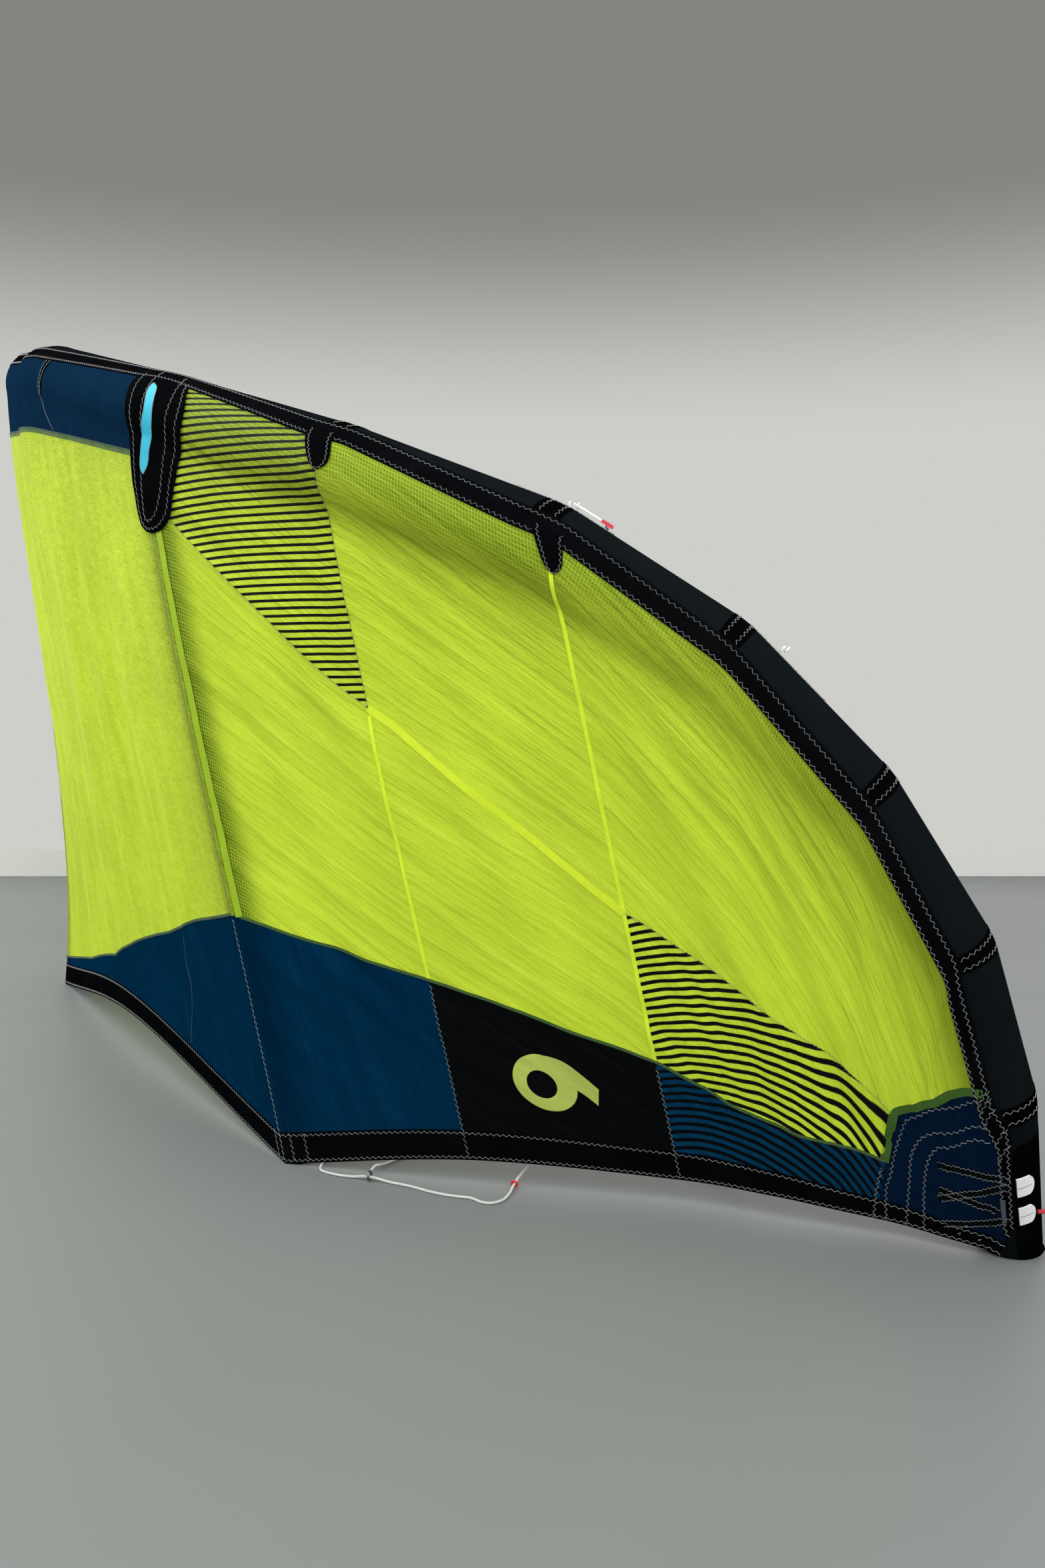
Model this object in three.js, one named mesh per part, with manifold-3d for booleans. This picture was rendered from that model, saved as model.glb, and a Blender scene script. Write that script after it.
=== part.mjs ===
// An inflated kitesurfing kite that stands on its strut ends and wingtips. Millimetres, +Z up,
// the symmetry plane at X = 0 and the outer side of the arc towards -Y.
import * as THREE from "three";
import Module from "manifold-3d";

const wasm = await Module();
wasm.setup();

// Stations of one half, 0 at the centre strut, 2 at the side strut, 9 at the wingtip.
// le and radius: the leading-edge tube. te: the trailing edge. seam and leave: the angles on the
// tube at which the canopy is sewn on and at which it leaves it. draw and camber shape the profile.
const STATIONS = [
  { le: [0, 25, 1760], radius: 100, te: [0, 0, 0], seam: 50, leave: 24, draw: 0.06, camber: -9 },
  { le: [700, 136, 1655], radius: 95, te: [740, 265, 95], seam: 66, leave: 36, draw: 0.075, camber: -3 },
  { le: [1335, 437, 1467], radius: 89, te: [1545, 620, 0], seam: 84, leave: 49, draw: 0.07, camber: 1 },
  { le: [1726, 735, 1317], radius: 85, te: [1718, 958, 47], seam: 72, leave: 43, draw: 0.03, camber: 1 },
  { le: [1962, 1041, 1168], radius: 82, te: [1881, 1308, 45], seam: 57, leave: 35, draw: 0.01, camber: 1 },
  { le: [2088, 1291, 990], radius: 79, te: [1980, 1450, 44], seam: 43, leave: 27, draw: 0.01, camber: 1 },
  { le: [2170, 1494, 770], radius: 75, te: [2048, 1555, 35], seam: 29, leave: 19, draw: 0.02, camber: 1 },
  { le: [2210, 1648, 526], radius: 72, te: [2100, 1640, 26], seam: 15, leave: 11, draw: 0.05, camber: 1 },
  { le: [2221, 1733, 284], radius: 63, te: [2160, 1711, 17], seam: 4, leave: 0, draw: 0.05, camber: 1 },
  { le: [2165, 1813, 0], radius: 50, te: [2215, 1796, 3], seam: -6, leave: -10, draw: 0.06, camber: 1 },
];
const TIP = STATIONS.length - 1;
const SIDE_STRUT = 2;
const SEAM_ONE = 3;
const SEAM_TWO = 4.05;
const CLOTH_END = 8.7; // the last station with cloth between the edge strip and the hem
const AIM_END = 7.5; // from here on the tube's section keeps its direction
const CENTRE_Y = 891; // the middle of the whole kite along Y

const GAP = 0.2; // each piece stays back this far from a neighbour's edge
const CLOTH = 1.6;
const COVER = 2;
const STRIP_WIDTH = 44;
const SKIN_RISE = 3; // the middle of the cloth above the tube that it lies on
const TIP_RISE = 3.5; // more of it where the hem turns round the end of the tube
const ARC_POINTS = 5;
const CURVE_POINTS = 40;
const BEND = 0.08; // half of a joint's bend, in stations

// Soft folds that run down the cloth: stations and chord shares of both ends, width and height.
const FOLDS = [
  { from: [0.45, 0.14], to: [0.3, 0.94], width: 60, height: 9 },
  { from: [0.85, 0.16], to: [0.72, 0.92], width: 52, height: -12 },
  { from: [1.2, 0.13], to: [1.02, 0.9], width: 48, height: 12 },
  { from: [1.55, 0.15], to: [1.32, 0.84], width: 44, height: -9 },
  { from: [1.75, 0.2], to: [1.62, 0.98], width: 40, height: 10 },
  { from: [2.15, 0.25], to: [2.75, 0.95], width: 50, height: -8 },
  { from: [2.35, 0.08], to: [3.4, 0.72], width: 58, height: 8 },
  { from: [3.08, 0.16], to: [3.85, 0.62], width: 50, height: -7 },
  { from: [3.3, 0.3], to: [3.8, 0.98], width: 48, height: 7 },
  { from: [4.15, 0.12], to: [5.4, 0.8], width: 56, height: 8 },
  { from: [4.95, 0.22], to: [6.3, 0.86], width: 50, height: -7 },
  { from: [5.9, 0.14], to: [6.7, 0.7], width: 44, height: 6 },
];

const radians = THREE.MathUtils.degToRad;
const mix = THREE.MathUtils.lerp;
const point = (list) => new THREE.Vector3(...list);

const COLOUR = {
  lime: 0xc6dc2e,
  limeStriped: 0xa9bf2a,
  navy: 0x06264a,
  blue: 0x0a5c86,
  blueStriped: 0x084567,
  black: 0x0b0d10,
  tube: 0x11151b,
  webbing: 0xd9dcdf,
  line: 0xe6e6e2,
  red: 0xc4262c,
  metal: 0x3a3d42,
};

function steps(from, to, count) {
  return Array.from({ length: count + 1 }, (_, i) => mix(from, to, i / count));
}

function mirrored(v) {
  return new THREE.Vector3(-v.x, v.y, v.z);
}

// A value between the stations, straight from one to the next.
function between(key, s) {
  const i = Math.min(Math.floor(s), TIP - 1);
  return mix(STATIONS[i][key], STATIONS[i + 1][key], s - i);
}

// A smooth curve through a list of points, one unit of u per point.
function smooth(points, u, before) {
  const last = points.length - 1;
  const i = THREE.MathUtils.clamp(Math.floor(u), 0, last - 1);
  const beyond = (end, inner) => end.clone().multiplyScalar(2).sub(inner);
  const p0 = i > 0 ? points[i - 1] : (before ?? beyond(points[0], points[1]));
  const p3 = i + 2 <= last ? points[i + 2] : beyond(points[last], points[last - 1]);
  const [p1, p2] = [points[i], points[i + 1]];
  const f = u - i;
  const along = (a, b, c, d) =>
    0.5 * (2 * b + (c - a) * f + (2 * a - 5 * b + 4 * c - d) * f * f + (3 * b - a - 3 * c + d) * f ** 3);
  return new THREE.Vector3(
    along(p0.x, p1.x, p2.x, p3.x),
    along(p0.y, p1.y, p2.y, p3.y),
    along(p0.z, p1.z, p2.z, p3.z),
  );
}

const LE_POINTS = STATIONS.map((station) => point(station.le));
const TE_POINTS = STATIONS.map((station) => point(station.te));
const TE_INNER = TE_POINTS.slice(0, SIDE_STRUT + 1);
const TE_OUTER = TE_POINTS.slice(SIDE_STRUT);

const beyondTip = LE_POINTS[TIP].clone().multiplyScalar(2).sub(LE_POINTS[TIP - 1]);

// Straight tube lengths from joint to joint, with a short bend at each joint.
function straightLengths(s) {
  const i = THREE.MathUtils.clamp(Math.round(s), 0, TIP);
  const f = s - i;
  const here = LE_POINTS[i];
  const before = i > 0 ? LE_POINTS[i - 1] : mirrored(LE_POINTS[1]);
  const after = i < TIP ? LE_POINTS[i + 1] : beyondTip;
  if (Math.abs(f) >= BEND) return here.clone().lerp(f < 0 ? before : after, Math.abs(f));
  const u = (f + BEND) / (2 * BEND);
  const [a, b] = [here.clone().lerp(before, BEND), here.clone().lerp(after, BEND)];
  return a.lerp(here, u).lerp(here.clone().lerp(b, u), u);
}

// The middle of the kite is one curved length; the others are straight.
function leadingEdge(s) {
  const straight = THREE.MathUtils.smoothstep(s, 0.3, 0.9);
  return smooth(LE_POINTS, s, mirrored(LE_POINTS[1])).lerp(straightLengths(s), straight);
}

// The trailing edge turns a corner at the side strut, which pushes it down to the floor.
const trailingEdge = (s) =>
  s <= SIDE_STRUT ? smooth(TE_INNER, s) : smooth(TE_OUTER, s - SIDE_STRUT);

// The tube's section at a station: fwd points away from the cloth, out to the outer side.
function tubeFrame(s) {
  const step = 0.01;
  const centre = leadingEdge(s);
  const along = leadingEdge(s + step).sub(leadingEdge(Math.max(s - step, 0)));
  const tangent = s < step ? new THREE.Vector3(1, 0, 0) : along.normalize();
  const fwd = centre.clone().sub(trailingEdge(Math.min(s, AIM_END)));
  fwd.addScaledVector(tangent, -fwd.dot(tangent)).normalize();
  const out = new THREE.Vector3().crossVectors(tangent, fwd).normalize();
  return { centre, fwd, out, radius: between("radius", s) };
}

function aroundTube({ centre, fwd, out }, radius, angle) {
  return centre
    .clone()
    .addScaledVector(fwd, Math.sin(angle) * radius)
    .addScaledVector(out, Math.cos(angle) * radius);
}

// Cloth that meets the tube lies on it and not inside it.
const AXIS_STEP = 0.05;
const TUBE_AXIS = steps(0, TIP, TIP / AXIS_STEP).map((s) => ({
  centre: leadingEdge(s),
  radius: between("radius", s) + SKIN_RISE + TIP_RISE * Math.max(s - 8, 0),
}));

function offTheTube(p, from, to) {
  const first = Math.max(Math.floor(from / AXIS_STEP), 0);
  const last = Math.min(Math.ceil(to / AXIS_STEP), TUBE_AXIS.length - 1);
  let nearest = null;
  for (let i = first; i < last; i++) {
    const [a, b] = [TUBE_AXIS[i], TUBE_AXIS[i + 1]];
    const line = new THREE.Line3(a.centre, b.centre);
    const share = line.closestPointToPointParameter(p, true);
    const foot = line.at(share, new THREE.Vector3());
    const reach = foot.distanceTo(p);
    if (nearest && reach >= nearest.reach) continue;
    nearest = { foot, reach, radius: mix(a.radius, b.radius, share) };
  }
  if (nearest.reach >= nearest.radius) return p;
  const away = p.clone().sub(nearest.foot).normalize();
  return nearest.foot.addScaledVector(away, nearest.radius);
}

// The canopy's profile at a station, from the seam on the tube down to the trailing edge.
const profiles = new Map();

function profile(s) {
  const key = s.toFixed(5);
  if (profiles.has(key)) return profiles.get(key);
  const frame = tubeFrame(s);
  const radius = frame.radius + SKIN_RISE;
  const [seam, leave] = [radians(between("seam", s)), radians(between("leave", s))];
  const points = [];
  for (let i = 0; i < ARC_POINTS; i++) {
    points.push(aroundTube(frame, radius, mix(seam, leave, i / (ARC_POINTS - 1))));
  }
  const start = points[ARC_POINTS - 1];
  const end = trailingEdge(s);
  const length = start.distanceTo(end);
  const up = start.clone().sub(end).normalize();
  const outward = frame.out.clone().addScaledVector(up, -frame.out.dot(up)).normalize();
  const camber = radians(between("camber", s));
  const first = start
    .clone()
    .addScaledVector(frame.fwd, -Math.cos(leave) * between("draw", s) * length)
    .addScaledVector(frame.out, Math.sin(leave) * between("draw", s) * length);
  const second = end
    .clone()
    .addScaledVector(up, Math.cos(camber) * 0.3 * length)
    .addScaledVector(outward, Math.sin(camber) * 0.3 * length);
  const curve = new THREE.CubicBezierCurve3(start, first, second, end);
  for (let i = 1; i <= CURVE_POINTS; i++) points.push(curve.getPoint((i / CURVE_POINTS) ** 1.5));
  const placed = points.map((p) => offTheTube(p, s - 0.4, s > 6 ? TIP : s + 0.4));
  const lengths = [0];
  for (let i = 1; i < placed.length; i++) {
    lengths.push(lengths[i - 1] + placed[i].distanceTo(placed[i - 1]));
  }
  const made = { points: placed, lengths, total: lengths[lengths.length - 1] };
  profiles.set(key, made);
  return made;
}

// A point of the canopy: station s, and share t of the way from the seam to the trailing edge.
function skin(s, t) {
  if (s < 0) return mirrored(skin(-s, t));
  const { points, lengths, total } = profile(s);
  const wanted = t * total;
  let i = 1;
  while (i < lengths.length - 1 && lengths[i] < wanted) i++;
  const share = (wanted - lengths[i - 1]) / (lengths[i] - lengths[i - 1]);
  return points[i - 1].clone().lerp(points[i], share);
}

// Millimetres of trailing edge or tube per station, near a station.
const spacing = (s) => LE_POINTS[Math.floor(s)].distanceTo(LE_POINTS[Math.floor(s) + 1]);

function foldHeight(s, t) {
  const place = Math.abs(s);
  let height = 0;
  for (const { from, to, width, height: top } of FOLDS) {
    const share = (t - from[1]) / (to[1] - from[1]);
    if (share <= 0 || share >= 1) continue;
    const away = (place - mix(from[0], to[0], share)) * spacing(Math.min(place, TIP - 0.01));
    height += top * Math.sin(Math.PI * share) * Math.exp(-((away / width) ** 2));
  }
  return height;
}

function outwardNormal(s, t) {
  const step = 0.004;
  const across = skin(s + step, t).sub(skin(s - step, t));
  const down = skin(s, Math.min(t + step, 1)).sub(skin(s, Math.max(t - step, 0)));
  return new THREE.Vector3().crossVectors(down, across).normalize();
}

// A point of the cloth, lifted off the canopy's middle surface.
function cloth(s, t, lift) {
  const normal = outwardNormal(s, t);
  return skin(s, t).addScaledVector(normal, lift + foldHeight(s, t));
}

// Seam lines, as a share of the profile's length at a station.
const throughKnots = (knots) => (s) => {
  const i = Math.max(0, Math.min(knots.findIndex((knot) => knot[0] >= s) - 1, knots.length - 2));
  const at = s > knots[knots.length - 1][0] ? knots.length - 2 : i;
  const [[s0, t0], [s1, t1]] = [knots[at], knots[at + 1]];
  return mix(t0, t1, THREE.MathUtils.clamp((s - s0) / (s1 - s0), 0, 1));
};

const seamLine = () => 0;
const hemLine = () => 1;
const stripLine = (s) => Math.min(STRIP_WIDTH / profile(s).total, 0.42);
const hemWidth = throughKnots([[0, 64], [4, 62], [6, 46], [8, 36], [9, 34]]);
const hemTop = (s) => Math.max(1 - hemWidth(s) / profile(s).total, 0.58);
const navyLine = () => 0.13;
const diagonal = throughKnots([[2, 0.185], [3, 0.37], [4.05, 0.56], [5.25, 0.62], [6.65, 0.63], [9, 0.63]]);
const blueInnerLine = throughKnots([
  [0, 0.956],
  [0.5, 0.945],
  [0.88, 0.92],
  [1.1, 0.88],
  [1.48, 0.804],
  [1.73, 0.743],
  [2, 0.69],
]);
const blueOuterLine = throughKnots([[2, 0.69], [3, 0.74], [4.05, 0.8], [4.7, 0.84], [5.45, 0.85], [6.65, 0.8]]);

// Where the wingtip patch laps the panels: station and share, from the strip down to the hem.
const TIP_EDGE = [[7.78, 0.1], [7.5, 0.28], [7.2, 0.45], [6.93, 0.55], [6.66, 0.63], [6.62, 0.8], [6.58, 1]];

// The station at which a seam line meets the wingtip patch.
function meetTip(line) {
  let [low, high] = [SEAM_TWO, CLOTH_END];
  for (let i = 0; i < 40; i++) {
    const s = (low + high) / 2;
    const t = line(s);
    const at = Math.max(1, TIP_EDGE.findIndex((knot) => knot[1] >= t));
    const [[s0, t0], [s1, t1]] = [TIP_EDGE[at - 1], TIP_EDGE[at]];
    if (s < mix(s0, s1, (t - t0) / (t1 - t0))) low = s;
    else high = s;
  }
  return low;
}

const joined = (...lists) => lists.flatMap((list, i) => (i ? list.slice(1) : list));

const BAY_INNER = joined(steps(0, 0.6, 5), steps(0.6, SIDE_STRUT, 14));
const BAY_ONE = [SIDE_STRUT, 2.1, 2.25, 2.4, 2.55, 2.7, 2.83, 2.93, SEAM_ONE];
const BAY_TWO = [...steps(SEAM_ONE, 4, 6), SEAM_TWO];

// Columns from the second seam to the wingtip patch, and on to the end of the cloth. Those of the
// rows near the tube fall on its joints.
const BAY_THREE = [SEAM_TWO, 4.36, 4.68, 5, 5.33, 5.66, 6];
const columnsTo = (end) => [...BAY_THREE, ...[0.19, 0.375, 0.56, 0.78, 1].map((w) => mix(6, end, w))];
const tipColumns = (edge) => [0, 0.12, 0.24, 0.39, 0.54, 0.7, 0.85, 1].map((w) => mix(edge, CLOTH_END, w));

// Rows of a panel are seam lines: some at a distance from the tube, where the cloth bends round it,
// and the others even between two lines.
const blend = (a, b, share) => (s) => mix(a(s), b(s), share);
const evenLines = (top, bottom, count) => steps(0, 1, count).map((share) => blend(top, bottom, share));
const fromTube = (distance) => (s) => Math.min(distance / profile(s).total, 0.42 + distance * 0.0004);
const BEND_ROWS = [64, 84, 104, 126, 150];
const bendLines = (bottom, count) => {
  const bends = BEND_ROWS.map(fromTube);
  return [stripLine, ...bends, ...evenLines(bends[bends.length - 1], bottom, count).slice(1)];
};

const alongLines = (stations, lines) => lines.map((line) => stations.map((s) => [s, line(s)]));

// From the second seam to the wingtip patch.
const toTip = (lines) =>
  lines.map((line) => columnsTo(meetTip(line)).map((s) => [s, line(s)]));

const THREE_LINES = bendLines(diagonal, 4);
const STRIPED_LINES = evenLines(diagonal, blueOuterLine, 2);
const BLUE_LINES = evenLines(blueOuterLine, hemTop, 2);

// The wingtip patch meets every row of the panels beside it.
const tipPatch = joined(THREE_LINES, STRIPED_LINES, BLUE_LINES).map((line) => {
  const edge = meetTip(line);
  const share = (line(edge) - stripLine(edge)) / (hemTop(edge) - stripLine(edge));
  return tipColumns(edge).map((s) => [s, mix(stripLine(s), hemTop(s), share)]);
});

const NAVY_ROWS = [stripLine, ...BEND_ROWS.map(fromTube), navyLine];

const PANELS = [
  { name: "canopy_navy_inner", colour: "navy", rows: alongLines(BAY_INNER, NAVY_ROWS) },
  {
    name: "canopy_lime_inner",
    colour: "lime",
    rows: alongLines(BAY_INNER, evenLines(navyLine, blueInnerLine, 8)),
  },
  {
    name: "canopy_blue_inner",
    colour: "blue",
    rows: alongLines(BAY_INNER, evenLines(blueInnerLine, hemTop, 2)),
  },
  { name: "canopy_striped_upper", colour: "limeStriped", rows: alongLines(BAY_ONE, bendLines(diagonal, 2)) },
  {
    name: "canopy_lime_one",
    colour: "lime",
    rows: alongLines(BAY_ONE, evenLines(diagonal, blueOuterLine, 5)),
  },
  { name: "canopy_blue_outer", colour: "blue", rows: alongLines(BAY_ONE, evenLines(blueOuterLine, hemTop, 3)) },
  { name: "canopy_lime_two", colour: "lime", rows: alongLines(BAY_TWO, bendLines(blueOuterLine, 7)) },
  { name: "canopy_black", colour: "black", rows: alongLines(BAY_TWO, evenLines(blueOuterLine, hemTop, 3)) },
  { name: "canopy_lime_three", colour: "lime", rows: toTip(THREE_LINES) },
  { name: "canopy_striped_lower", colour: "limeStriped", rows: toTip(STRIPED_LINES) },
  { name: "canopy_striped_blue", colour: "blueStriped", rows: toTip(BLUE_LINES) },
  { name: "canopy_navy_tip", colour: "navy", rows: tipPatch },
];

// The strip and the hem run the whole half and meet the panels at each of their columns.
const bandStations = (line) =>
  joined(
    BAY_INNER,
    BAY_ONE,
    BAY_TWO,
    columnsTo(meetTip(line)),
    tipColumns(meetTip(line)),
  );
const BANDS = [
  {
    name: "edge_strip",
    colour: "black",
    rows: alongLines(bandStations(stripLine), evenLines(seamLine, stripLine, 2)),
  },
  { name: "hem_band", colour: "black", rows: alongLines(bandStations(hemTop), evenLines(hemTop, hemLine, 1)) },
];

// Solids

// Moves the points of a grid's rim inwards, so that neighbours keep a gap.
function drawnIn(grid) {
  const last = grid.length - 1;
  const toward = (p, q) => p.add(q.clone().sub(p).setLength(GAP));
  const end = grid[0].length - 1;
  for (const row of grid) {
    toward(row[0], row[1]);
    toward(row[end], row[end - 1]);
  }
  grid[0].forEach((p, i) => toward(p, grid[1][i]));
  grid[last].forEach((p, i) => toward(p, grid[last - 1][i]));
  return grid;
}

// A closed sheet between two grids of points, the outer face first.
function sheetGeometry(outer, inner) {
  const columns = outer[0].length;
  const points = [...outer.flat(), ...inner.flat()];
  const back = outer.length * columns;
  const faces = [];
  const quad = (a, b, c, d) => faces.push(a, b, c, a, c, d);
  for (let r = 0; r + 1 < outer.length; r++) {
    for (let c = 0; c + 1 < columns; c++) {
      const i = r * columns + c;
      quad(i, i + columns, i + columns + 1, i + 1);
      quad(back + i, back + i + 1, back + i + columns + 1, back + i + columns);
    }
  }
  const rim = [];
  for (let c = 0; c < columns; c++) rim.push(c);
  for (let r = 1; r < outer.length; r++) rim.push(r * columns + columns - 1);
  for (let c = columns - 2; c >= 0; c--) rim.push((outer.length - 1) * columns + c);
  for (let r = outer.length - 2; r > 0; r--) rim.push(r * columns);
  rim.forEach((a, i) => {
    const b = rim[(i + 1) % rim.length];
    quad(a, b, back + b, back + a);
  });
  return indexed(points, faces);
}

function indexed(points, faces) {
  const geometry = new THREE.BufferGeometry().setFromPoints(points);
  geometry.setIndex(faces);
  geometry.computeVertexNormals();
  return geometry;
}

function aboveFloor(p) {
  p.z = Math.max(p.z, 0);
  return p;
}

// A sheet of cloth on the canopy, its middle lifted and of a given thickness.
function clothSheet(rows, thickness, lift = 0) {
  const face = (side) =>
    drawnIn(rows.map((row) => row.map(([s, t]) => cloth(s, t, lift + side * thickness * 0.5)))).map(
      (row) => row.map(aboveFloor),
    );
  return sheetGeometry(face(1), face(-1));
}

// A closed tube through rings of points, each ring in the same sense.
function loft(rings) {
  const sides = rings[0].length;
  const points = rings.flat();
  const faces = [];
  for (let r = 0; r + 1 < rings.length; r++) {
    for (let c = 0; c < sides; c++) {
      const [a, b] = [r * sides + c, r * sides + ((c + 1) % sides)];
      faces.push(a, b + sides, b, a, a + sides, b + sides);
    }
  }
  const top = (rings.length - 1) * sides;
  for (let c = 1; c + 1 < sides; c++) {
    faces.push(0, c, c + 1);
    faces.push(top, top + c + 1, top + c);
  }
  return indexed(points, faces);
}

function toSolid(geometry) {
  const solid = new wasm.Manifold(
    new wasm.Mesh({
      numProp: 3,
      vertProperties: new Float32Array(geometry.getAttribute("position").array),
      triVerts: new Uint32Array(geometry.index.array),
    }),
  );
  return solid;
}

function toGeometry(solid) {
  const mesh = solid.getMesh();
  const geometry = new THREE.BufferGeometry();
  geometry.setAttribute("position", new THREE.BufferAttribute(mesh.vertProperties, 3));
  geometry.setIndex(new THREE.BufferAttribute(mesh.triVerts, 1));
  geometry.computeVertexNormals();
  return geometry;
}

const TUBE_SIDES = 18;
const CENTRE_RINGS = steps(-1, 1, 10);
const segmentRings = (from, to) => [from, from + BEND, (from + to) * 0.5, to - BEND, to];
const ringAngles = (sides) => Array.from({ length: sides }, (_, i) => (i / sides) * 2 * Math.PI);

function tubeRing(s, extra = 0) {
  const at = Math.abs(s);
  const frame = tubeFrame(at);
  const ring = ringAngles(TUBE_SIDES).map((angle) => aroundTube(frame, frame.radius + extra, angle));
  return s < 0 ? ring.map(mirrored) : ring;
}

function tubeLength(stations, extra = 0) {
  return loft(stations.map((s) => tubeRing(s, extra)));
}

const STRUT_RADIUS = { head: 54, tail: 27 };
const STRUT_SIDES = 14;
const STRUT_SPANS = 12;
const STRUT_START = 0.03;
const STRUT_CLEAR = 1.8;

// A strut lies along the inner face of the cloth, from the leading edge down to the floor.
function strutGeometry(station) {
  const rings = steps(STRUT_START, 1, STRUT_SPANS).map((t) => {
    const radius = mix(STRUT_RADIUS.head, STRUT_RADIUS.tail, t);
    const [one, other] = [outwardNormal(station - 0.02, t), outwardNormal(station + 0.02, t)];
    const inward = one.clone().add(other).multiplyScalar(-0.5);
    const wedge = inward.length();
    inward.normalize();
    const along = skin(station, Math.min(t + 0.01, 1)).sub(skin(station, Math.max(t - 0.01, 0)));
    along.normalize();
    const side = new THREE.Vector3().crossVectors(along, inward).normalize();
    const centre = skin(station, t).addScaledVector(inward, (radius + CLOTH * 0.5 + STRUT_CLEAR) / wedge);
    if (t === 1) centre.addScaledVector(along, 40);
    return ringAngles(STRUT_SIDES).map((angle) =>
      centre
        .clone()
        .addScaledVector(side, Math.cos(angle) * radius)
        .addScaledVector(inward, Math.sin(angle) * radius),
    );
  });
  const whole = toSolid(loft(rings));
  const clear = (stations) => toSolid(tubeLength(stations, 0.6));
  const tube =
    station === 0
      ? clear(CENTRE_RINGS)
      : clear(segmentRings(station - 1, station)).add(clear(segmentRings(station, station + 1)));
  const bodies = whole.subtract(tube).trimByPlane([0, 0, 1], 0).decompose();
  return toGeometry(bodies.reduce((a, b) => (b.volume() > a.volume() ? b : a)));
}

// Webbing tongues on the end of the tube, above each other, beside the canopy's corner.
const TONGUE = { thickness: 3, rise: 0.5, from: 5, to: 36 };
const TONGUE_STATIONS = { upper: [8.385, 8.505], lower: [8.585, 8.7] };

function tongueGeometry([low, high]) {
  const face = (rise) =>
    [low, mix(low, high, 0.5), high].map((s) => {
      const frame = tubeFrame(s);
      const angles = steps(TONGUE.from, TONGUE.to, 5).map(radians);
      return angles.map((angle) => aroundTube(frame, frame.radius + rise, angle));
    });
  return sheetGeometry(face(TONGUE.rise + TONGUE.thickness), face(TONGUE.rise));
}

// The bridle: from the tube inside the canopy to the floor, out under the hem, through the bead
// and the ring, back in beside the side strut and up to the tube again.
const BRIDLE_WIDTH = 5;
const BRIDLE_ROUTE = [
  [2014.7, 1126.7, 1203.9],
  [1984, 1143.7, 1203.8],
  [1945, 1140.6, 1195.6],
  [1910, 1126.6, 1168.6],
  [1897, 1126, 1077],
  [1904, 1129, 830],
  [1893, 1145, 540],
  [1866, 1150, 390],
  [1822, 1138, 245],
  [1776, 1106, 120],
  [1746, 1072, 45],
  [1738, 1054, 18],
  [1744, 1044, 10],
  [1754, 1038, 7.8],
  [1764, 1032, 6],
  [1786, 1020, 2.8],
  [1807, 1004, 2.6],
  [1815, 982, 2.6],
  [1806, 963, 2.6],
  [1786, 948, 2.6],
  [1769, 916, 2.6],
  [1745, 882, 2.6],
  [1710, 845, 2.6],
  [1684, 809, 3.2],
  [1671, 787.5, 6.8],
  [1663, 774, 7.8],
  [1655, 760.5, 6.8],
  [1642, 738, 3.2],
  [1622, 708, 2.6],
  [1598, 686, 2.6],
  [1566, 690, 2.6],
  [1542, 704, 5],
  [1524, 706, 40],
  [1504, 693, 190],
  [1470, 660, 520],
  [1436, 625, 950],
  [1402.5, 609.7, 1353],
  [1413.8, 615, 1446.6],
  [1441.3, 597, 1487.5],
  [1464.1, 569.9, 1501.5],
];
const BEAD_AT = BRIDLE_ROUTE[13];
const RING_AT = BRIDLE_ROUTE[25];
const RING_RISE = 2.4; // the ring hangs on the line, so its middle is above it
const BEAD = { middle: 5.3, wire: 2.3 };
const RING = { middle: 7.6, wire: 2.4 };

// A second line from the ring, along the floor inside the canopy and up to the tube.
const LEG_ROUTE = [
  [1655.8, 778.2, 18.4],
  [1640, 787, 19],
  [1620, 797, 12],
  [1598, 812, 4],
  [1576, 842, 2.6],
  [1562, 892, 2.6],
  [1562, 962, 2.6],
  [1577, 1040, 2.6],
  [1606, 1118, 2.6],
  [1650, 1198, 2.6],
  [1702, 1276, 2.6],
  [1754, 1348, 2.6],
  [1800, 1404, 4],
  [1842, 1440, 25],
  [1884, 1452, 90],
  [1938, 1446, 250],
  [1984, 1430, 420],
  [2016, 1414, 600],
  [2036, 1402, 780],
  [2038.7, 1399, 899.8],
  [2049, 1401, 946],
  [2069.4, 1410.9, 968.6],
  [2102.5, 1411.9, 983.4],
  [2133.1, 1401.8, 984.8],
];

// A thicker short cord that hangs from the lower tongue.
const PIGTAIL_WIDTH = 7;
const PIGTAIL_ROUTE = [
  [2237.1, 1808.4, 92.2],
  [2238.2, 1817.2, 92.3],
  [2238.8, 1826, 92],
  [2238.5, 1832.9, 90.6],
  [2238.5, 1838.7, 86.7],
  [2238.5, 1842.6, 80.9],
  [2238.5, 1844, 74],
  [2238.5, 1844, 58],
  [2238.6, 1844, 40],
  [2239, 1844, 23.7],
  [2239.8, 1845.9, 15.2],
  [2240.5, 1851.1, 8.4],
  [2241.2, 1858.8, 4.4],
  [2244, 1872, 3.7],
  [2248.5, 1886, 3.7],
];
const CORD_SIDES = 8;

// A smooth curve through a route's points, the same share of it between each two.
class Route extends THREE.Curve {
  constructor(list) {
    super();
    this.points = list.map(point);
  }

  getPoint(share) {
    return smooth(this.points, share * (this.points.length - 1));
  }

  getUtoTmapping(share) {
    return share;
  }
}

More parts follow.
